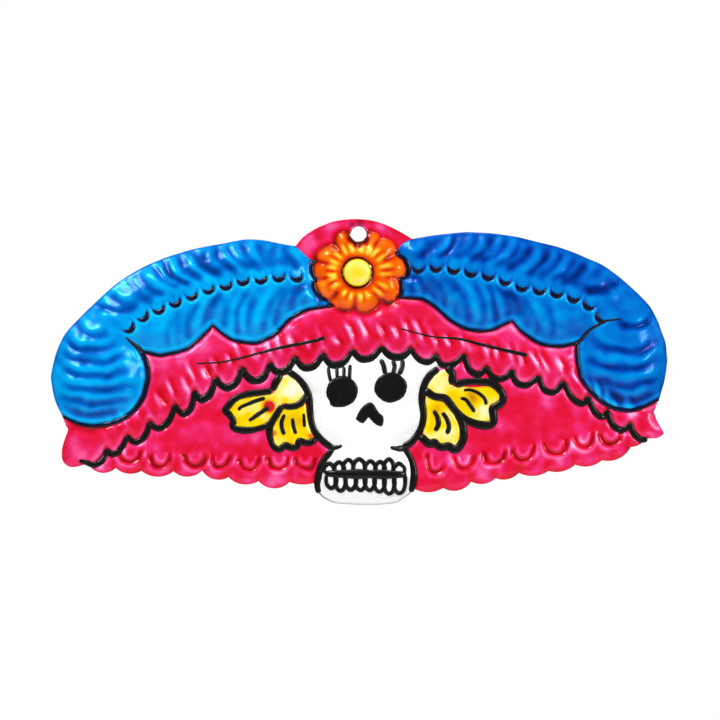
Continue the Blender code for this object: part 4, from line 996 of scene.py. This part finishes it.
def domed(tree, curve, radius, dome, around):  # sweeps a low dome of enamel along a curve
    facing = add(tree, "GeometryNodeSetCurveNormal", {"Curve": curve, "Normal": (0.0, -1.0, 0.0)},
                 mode="FREE")
    circle = add(tree, "GeometryNodeCurvePrimitiveCircle", {"Resolution": around, "Radius": 1.0})
    flat = add(tree, "ShaderNodeCombineXYZ", {"X": dome, "Y": 1.0, "Z": 1.0})
    profile = add(tree, "GeometryNodeTransform", {"Geometry": circle.outputs[0], "Scale": flat.outputs[0]})
    swept = add(tree, "GeometryNodeCurveToMesh", {
        "Curve": facing.outputs[0], "Profile Curve": profile.outputs[0], "Scale": radius, "Fill Caps": True})
    return swept.outputs[0]


def endTree(tree, geometry, material):  # real meshes, smooth, in their enamel
    real = add(tree, "GeometryNodeRealizeInstances", {"Geometry": geometry})
    smooth = add(tree, "GeometryNodeSetShadeSmooth", {"Geometry": real.outputs[0]})
    coloured = add(tree, "GeometryNodeSetMaterial", {"Geometry": smooth.outputs[0], "Material": material})
    add(tree, "NodeGroupOutput", {"Geometry": coloured.outputs[0]})


def strokeTree():
    # One hand-painted stroke on each curve, with round ends. The curve's radius is half the stroke's width.
    tree, given = newTree("enamelStroke", {"Dome height": "Float", "Around": "Int", "Enamel": "Material"})
    place = add(tree, "GeometryNodeSplineParameter").outputs["Length"]
    whole = add(tree, "GeometryNodeSplineLength").outputs["Length"]
    width = add(tree, "GeometryNodeInputRadius").outputs[0]
    rest = add(tree, "ShaderNodeMath", {0: whole, 1: place}, operation="SUBTRACT").outputs[0]
    toEnd = add(tree, "ShaderNodeMath", {0: place, 1: rest}, operation="MINIMUM").outputs[0]
    share = add(tree, "ShaderNodeMath", {0: toEnd, 1: width}, operation="DIVIDE", use_clamp=True).outputs[0]
    left = add(tree, "ShaderNodeMath", {0: 1.0, 1: share}, operation="SUBTRACT").outputs[0]
    square = add(tree, "ShaderNodeMath", {0: left, 1: left}, operation="MULTIPLY").outputs[0]
    drop = add(tree, "ShaderNodeMath", {0: 1.0, 1: square}, operation="SUBTRACT").outputs[0]
    roundEnd = add(tree, "ShaderNodeMath", {0: drop, 1: 0.5}, operation="POWER").outputs[0]
    roundEnd = add(tree, "ShaderNodeMath", {0: roundEnd, 1: 0.08}, operation="MAXIMUM").outputs[0]
    radius = add(tree, "ShaderNodeMath", {0: width, 1: roundEnd}, operation="MULTIPLY").outputs[0]
    stroke = domed(tree, given["Geometry"], radius, given["Dome height"], given["Around"])
    endTree(tree, stroke, given["Enamel"])
    return tree


def applied(holder, tree, values, name):  # runs a tree on an object, and keeps only the plain mesh it makes
    modifier = holder.modifiers.new(tree.name, "NODES")
    modifier.node_group = tree
    for item in tree.interface.items_tree:
        if item.item_type == "SOCKET" and item.in_out == "INPUT" and item.name in values:
            modifier[item.identifier] = values[item.name]
    graph = bpy.context.evaluated_depsgraph_get()
    mesh = bpy.data.meshes.new_from_object(holder.evaluated_get(graph))
    holder.modifiers.remove(modifier)
    bpy.data.objects.remove(holder)
    return placed(name, mesh)


strokeMaker = strokeTree()
lineWork = {"overLacquer": 0.15, "overWhite": 0.23, "lashLift": 0.08, "dome": 0.4, "spread": 1.2,
            "around": 12, "beside": 0.4, "leanOnHigher": 0.7, "wobble": 0.06, "wobbleEvery": 8}


def widened(count, widths):  # one width a point, from a few spread evenly along the stroke
    return np.interp(np.linspace(0, 1, count), np.linspace(0, 1, len(widths)), widths)


def strokes(name, paths, material, lift=lineWork["overLacquer"]):
    # Each of paths is a path and its widths, spread evenly along it. The line lies over the relief beside it.
    curve = bpy.data.curves.new(name, "CURVE")
    curve.dimensions = "3D"
    for path, widths in paths:
        p = np.array(path)
        spline = curve.splines.new("POLY")
        spline.points.add(len(p) - 1)
        across = np.gradient(p, axis=0)[:, ::-1] * (1, -1)
        across *= (widened(len(p), widths) * lineWork["beside"] / np.hypot(*across.T))[:, None]
        beside = [read(bed, *(p + side * across).T) for side in (-1, 1)]
        lean = lineWork["leanOnHigher"]
        under = np.maximum(read(bed, *p.T), lean * np.maximum(*beside) + (1 - lean) * np.minimum(*beside))
        places = np.stack([p[:, 0], -(under + lift), p[:, 1], np.full(len(p), 1 / mm)], 1) * mm
        spline.points.foreach_set("co", places.ravel())
        knots = np.arange(0, len(p) + lineWork["wobbleEvery"], lineWork["wobbleEvery"])
        wobble = 1 + lineWork["wobble"] * np.interp(np.arange(len(p)), knots, rng.standard_normal(len(knots)))
        spline.points.foreach_set("radius", widened(len(p), widths) * wobble * lineWork["spread"] * mm / 2)
    return applied(placed(name, curve), strokeMaker, {
        "Dome height": lineWork["dome"], "Around": lineWork["around"], "Enamel": material}, name)


def merged(name, pieces):  # several meshes as one piece
    with bpy.context.temp_override(active_object=pieces[0], selected_editable_objects=pieces):
        bpy.ops.object.join()
    pieces[0].name = pieces[0].data.name = name
    return pieces[0]


# Black and navy line work, laid stroke by stroke.
brimLine = {"cusp": 0.95, "low": 1.2, "middleLow": 1.45}  # widths
tail = [(-57.5, -46.6), (-56.2, -47.0), (-54.7, -47.5), (-53.3, -47.2), (-52.4, -46.2), brimStops[2]]
brimArcs = [(curved(tail), [0.7, 1.0, 1.2, 1.2, 0.95])]
for i in range(2, len(brimStops) - 2, 2):
    wide = brimLine["middleLow" if -32 < brimStops[i + 1][0] < 12 else "low"]
    brimArcs.append((hung(*brimStops[i:i + 3]), [brimLine["cusp"], wide, wide, brimLine["cusp"]]))
finished(strokes("brim_edge_enamel", brimArcs, blackEnamel), "brim_edge_line", "black_enamel")

plumeWidths = {
    "left": {"curl": [1.0, 1.0, 0.85, 0.6, 0.4], "curlTip": [0.3, 0.6, 1.1]},
    "right": {"curl": [0.75, 0.75, 0.8, 0.75, 0.5], "curlTip": [0.25, 0.5, 0.7]},
}
outside = 0.03  # the line runs just outside the petals, by this share of its distance from the boss
for side in sides:
    under = plumes[side]["under"]
    peak = nearest(under, plumes[side]["peak"])
    lines = [(under[:peak + 1], [0.4, 0.6, 0.55, 0.3]), (under[peak:], [0.3, 0.5, 0.6, 0.6])]
    lines += [(plumes[side][edge], plumeWidths[side][edge]) for edge in ("curl", "curlTip")]
    for edge in byFlower[side]:
        shifted = [tuple(p[k] + outside * (p[k] - flower["centre"][k]) for k in (0, 1)) for p in edge]
        lines.append((shifted, [0.6, 0.85, 0.85, 0.6]))
    finished(strokes(f"{side}_plume_enamel", lines, navyEnamel), f"{side}_plume_line", "navy_enamel")

creases = {
    "left": ([(-33.5, -26.7), (-28.5, -26.4), (-24.5, -25.6), (-20, -24.4), (-16, -23.4), (-12, -22.6),
              (-9, -22.0), (-6.9, -21.3)], [0.22, 0.35, 0.55, 0.7]),
    "right": ([(8.6, -19.5), (12, -20.4), (15.5, -21.2), (20.5, -21.6), (25, -22.7), (29, -23.7),
               (34.7, -25.0)], [0.22, 0.35, 0.55, 0.75]),
}
for side, (points, widths) in creases.items():
    finished(strokes(f"{side}_crease_enamel", [(curved(points), widths)], blackEnamel), f"{side}_crease_line",
             "black_enamel")
    lines = [(skullLines[side]["cheek"], [1.2, 1.25, 1.15, 1.2]),
             (skullLines[side]["jaw"], [1.0, 1.1, 1.3, 1.1]),
             (skullLines[side]["hook"], [1.0, 0.9, 0.4] if side == "left" else [1.1, 1.1, 0.5])]
    finished(strokes(f"{side}_cheek_enamel", lines, blackEnamel, lineWork["overWhite"]), f"{side}_cheek_line",
             "black_enamel")
    earring = earrings[side]
    lines = [(curved(points), [earring["lineWidth"]] * 3) for points in earring["lines"]]
    finished(strokes(f"{side}_earring_enamel", lines, blackEnamel), f"{side}_earring_line", "black_enamel")
    for i, (points, width) in enumerate(earring["veins"], 1):
        widths = [0.9 * width, 1.2 * width, 1.1 * width]
        vein = strokes(f"{side}_leaf_vein_{i}_enamel", [(curved(points), widths)], blackEnamel)
        finished(vein, f"{side}_leaf_vein_{i}", "black_enamel")

eyes = {  # lump is where the paint sagged
    "left": {"centre": (-3.4, -32.4), "radii": (3.4, 3.35), "lump": (-4.6, -34.7),
             "lashes": [[(-6.2, -27.3), (-6.1, -28.8), (-5.7, -30.4)], [(-4.5, -27.3), (-4.4, -29.6)],
                        [(-3.0, -27.3), (-3.0, -29.6)], [(-1.75, -26.9), (-1.8, -28.2), (-1.9, -30.0)]],
             "lash": 0.6},
    "right": {"centre": (6.6, -31.6), "radii": (3.5, 3.25), "lump": (5.9, -33.4),
              "lashes": [[(4.5, -25.8), (5.1, -27.0), (5.5, -28.9)],
                         [(7.0, -26.0), (7.4, -27.3), (7.0, -29.0)],
                         [(9.0, -25.9), (9.0, -27.3), (8.3, -29.0)]],
              "lash": 0.8},
}
for side, eye in eyes.items():
    disc = [(x + 0.09 * math.sin(3 * i / 9.5), z + 0.08 * math.sin(5 * i / 9.5 + 1))
            for i, (x, z) in enumerate(ring(eye["centre"], *eye["radii"]))]
    blob = slab(f"{side}_eye", [disc, ring(eye["lump"], 1.5, 1.1, 30)], blackEnamel,
                onRelief(coat["blob"], 0.7), lifted(coat["blobUnder"]))
    lashes = strokes(f"{side}_lashes", [(curved(points), [eye["lash"]] * 3) for points in eye["lashes"]],
                     blackEnamel, lineWork["overWhite"] + lineWork["lashLift"])
    eyeName = f"{side}_eye_and_lashes"
    finished(merged(eyeName + "_enamel", [blob, lashes]), eyeName, "black_enamel")

noseOutline = joined(
    curved([(-0.8, -38.1), (0.3, -36), (1.4, -34.9), (2.3, -34.5), (3.2, -35), (4.2, -36.6), (5.2, -37.6),
            (5.1, -39.3), (4.4, -39.7), (3.3, -39.2), (2.0, -37.9)]),
    curved([(2.0, -37.9), (1.1, -39.0), (0.2, -38.9), (-0.8, -38.1)]))
nose = slab("nose_enamel", [noseOutline], blackEnamel, onRelief(coat["blob"], 0.6), lifted(coat["blobUnder"]),
            pitch=0.22)
finished(nose, "nose_line", "black_enamel")

teeth = {
    "upper": [
        (-6.0, -46.9), (-4.0, -46.6), (-2.1, -46.1), (0.1, -46.0), (2.4, -46.4), (4.4, -46.5), (6.2, -46.0),
        (8.3, -46.9)],
    "lower": [
        (-5.6, -52.7), (-3.7, -53.2), (-1.6, -53.0), (0.4, -53.1), (2.3, -53.1), (4.3, -53.4), (6.3, -53.8),
        (8.4, -53.7)],
    "bar": [(-7.0, -49.3), (-3.0, -49.4), (1.5, -49.4), (6.0, -49.5), (9.9, -49.5)],
    "line": 0.78, "barLine": [1.0, 1.5, 1.7, 1.6, 1.0], "overlap": 0.06, "inset": 0.35, "shoulder": 0.72,
    "shoulderDrop": 0.55, "belly": 1.02,
}
loops = [(curved(teeth["bar"]), teeth["barLine"])]
for row, sign, base in (("upper", 1, -49.2), ("lower", -1, -49.6)):
    for x, z in teeth[row]:
        half = min(abs(x - other) for other, _ in teeth[row] if other != x) / 2 + teeth["overlap"]
        tip = z - sign * teeth["inset"]
        belly, shoulder = half * teeth["belly"], half * teeth["shoulder"]
        middle, high = (base + tip) / 2, tip - sign * teeth["shoulderDrop"]
        loop = curved([(x - half, base), (x - belly, middle), (x - shoulder, high), (x, tip),
                       (x + shoulder, high), (x + belly, middle), (x + half, base)])
        loops.append((loop, [teeth["line"]] * 3))
finished(strokes("teeth_enamel", loops, blackEnamel, lineWork["overWhite"]), "teeth_line", "black_enamel")
print("line work: done")


def crescentTree():
    # One crescent of dark paint at each point, turned by the point's tilt and a little uneven in size.
    tree, given = newTree("quillCrescents", {"Bow radius": "Float", "Thickness": "Float",
                                             "Dome height": "Float", "Seed": "Int", "Enamel": "Material"})
    bow = add(tree, "GeometryNodeCurveArc", {
        "Resolution": 17, "Radius": given["Bow radius"], "Start Angle": math.radians(178),
        "Sweep Angle": math.radians(184)}, mode="RADIUS")
    upright = add(tree, "GeometryNodeTransform", {"Geometry": bow.outputs[0],
                                                  "Rotation": (math.pi / 2, 0.0, 0.0)})
    share = add(tree, "GeometryNodeSplineParameter").outputs["Factor"]
    turn = add(tree, "ShaderNodeMath", {0: share, 1: math.pi}, operation="MULTIPLY").outputs[0]
    swell = add(tree, "ShaderNodeMath", {0: turn}, operation="SINE").outputs[0]
    swell = add(tree, "ShaderNodeMath", {0: swell, 1: 0.85, 2: 0.1}, operation="MULTIPLY_ADD").outputs[0]
    radius = add(tree, "ShaderNodeMath", {0: swell, 1: given["Thickness"]}, operation="MULTIPLY").outputs[0]
    crescent = domed(tree, upright.outputs[0], radius, given["Dome height"], 12)
    tilt = add(tree, "GeometryNodeInputNamedAttribute", {"Name": "tilt"}, data_type="FLOAT").outputs[0]
    turned = add(tree, "ShaderNodeCombineXYZ", {"Y": tilt}).outputs[0]
    size = add(tree, "FunctionNodeRandomValue", {2: 0.92, 3: 1.08, "Seed": given["Seed"]}, data_type="FLOAT")
    laid = add(tree, "GeometryNodeInstanceOnPoints", {"Points": given["Geometry"], "Instance": crescent,
                                                      "Rotation": turned, "Scale": size.outputs[1]})
    endTree(tree, laid.outputs[0], given["Enamel"])
    return tree


crescentMaker = crescentTree()
crescent = {"bow": 1.02, "thickness": 0.58, "dome": 0.35, "seed": 3, "below": 0.55, "lift": 0.2}
for side, places in markPlaces.items():
    spots = []
    for (x, z), tilt in places:
        foot = (x + crescent["below"] * math.sin(tilt), z - crescent["below"] * math.cos(tilt))
        spots.append((x * mm, -(float(read(height, *foot)) + crescent["lift"]) * mm, z * mm))
    points = bpy.data.meshes.new(f"{side}_quill_marks")
    points.from_pydata(spots, [], [])
    holder = placed(f"{side}_quill_marks", points)
    store(holder, "tilt", [-tilt for _, tilt in places])
    marks = applied(holder, crescentMaker, {
        "Bow radius": crescent["bow"] * mm, "Thickness": crescent["thickness"] * mm,
        "Dome height": crescent["dome"], "Seed": crescent["seed"], "Enamel": navyEnamel,
    }, f"{side}_quill_marks")
    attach(marks, "root")
print("quill marks: done")

# Camera, floor and light.
view = {"middleX": 0.29, "middleZ": -25.96, "frameWidth": 148.3, "distance": 1000.0, "sensor": 36.0}  # mm
camera = placed("camera", bpy.data.cameras.new("camera"))
camera.location = (view["middleX"] * mm, -view["distance"] * mm, view["middleZ"] * mm)
camera.rotation_euler = (math.pi / 2, 0, 0)
camera.data.sensor_width = view["sensor"]
camera.data.lens = view["sensor"] * view["distance"] / view["frameWidth"]
camera.data.clip_end = 20.0
scene.camera = camera

floorPlan = {"radius": 0.21, "level": -0.13, "sides": 64}  # m
rim = [(x, y, floorPlan["level"]) for x, y in ring((0, 0), floorPlan["radius"], floorPlan["radius"],
                                                   floorPlan["sides"])]
paper, paperTree, paperShader = newMaterial("paleFloor", **{"Roughness": 0.8})
place = add(paperTree, "ShaderNodeTexCoord").outputs["Object"]
speckle = add(paperTree, "ShaderNodeTexNoise", {"Vector": place, "Scale": 60.0, "Detail": 4.0})
paperRamp = add(paperTree, "ShaderNodeValToRGB", {"Fac": speckle.outputs["Fac"]})
setRamp(paperRamp, [(0.3, "#eeeeec"), (0.7, "#f4f4f2")])
paperTree.links.new(paperRamp.outputs["Color"], paperShader.inputs["Base Color"])
floor = toMesh("floor", rim, [list(range(floorPlan["sides"]))], paper)
floor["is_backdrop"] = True

aim = Vector((0.0, 0.0, -0.03))
lamps = [  # name, place, size, watts
    ("keySoftbox", (-0.5, -0.75, 0.7), 0.3, 9.0), ("fillSoftbox", (0.7, -0.8, 0.2), 0.3, 5.0),
    ("rimSoftbox", (0.0, -0.25, 0.8), 0.3, 2.0), ("backSoftbox", (0.3, 0.9, 0.5), 0.6, 8.0),
]
for name, place, size, watts in lamps:
    light = bpy.data.lights.new(name, "AREA")
    light.shape, light.size, light.energy = "SQUARE", size, watts
    lamp = placed(name, light)
    lamp.location = place
    lamp.rotation_euler = (aim - Vector(place)).to_track_quat("-Z", "Y").to_euler()

world = bpy.data.worlds.new("studio")
world.use_nodes = True
sky = world.node_tree
sky.nodes.clear()
seen = add(sky, "ShaderNodeLightPath").outputs["Is Camera Ray"]
strength = add(sky, "ShaderNodeMapRange", {"Value": seen, "To Min": 0.15, "To Max": 1.0}).outputs[0]
air = add(sky, "ShaderNodeBackground", {"Color": (1, 1, 1, 1), "Strength": strength})
add(sky, "ShaderNodeOutputWorld", {"Surface": air.outputs[0]})
scene.world = world
scene.view_settings.view_transform = "Standard"
print("stage: done")

low, high = cadBox
newLow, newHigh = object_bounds()
{"cad": [list(low), list(high)], "visual": [list(newLow), list(newHigh)]}
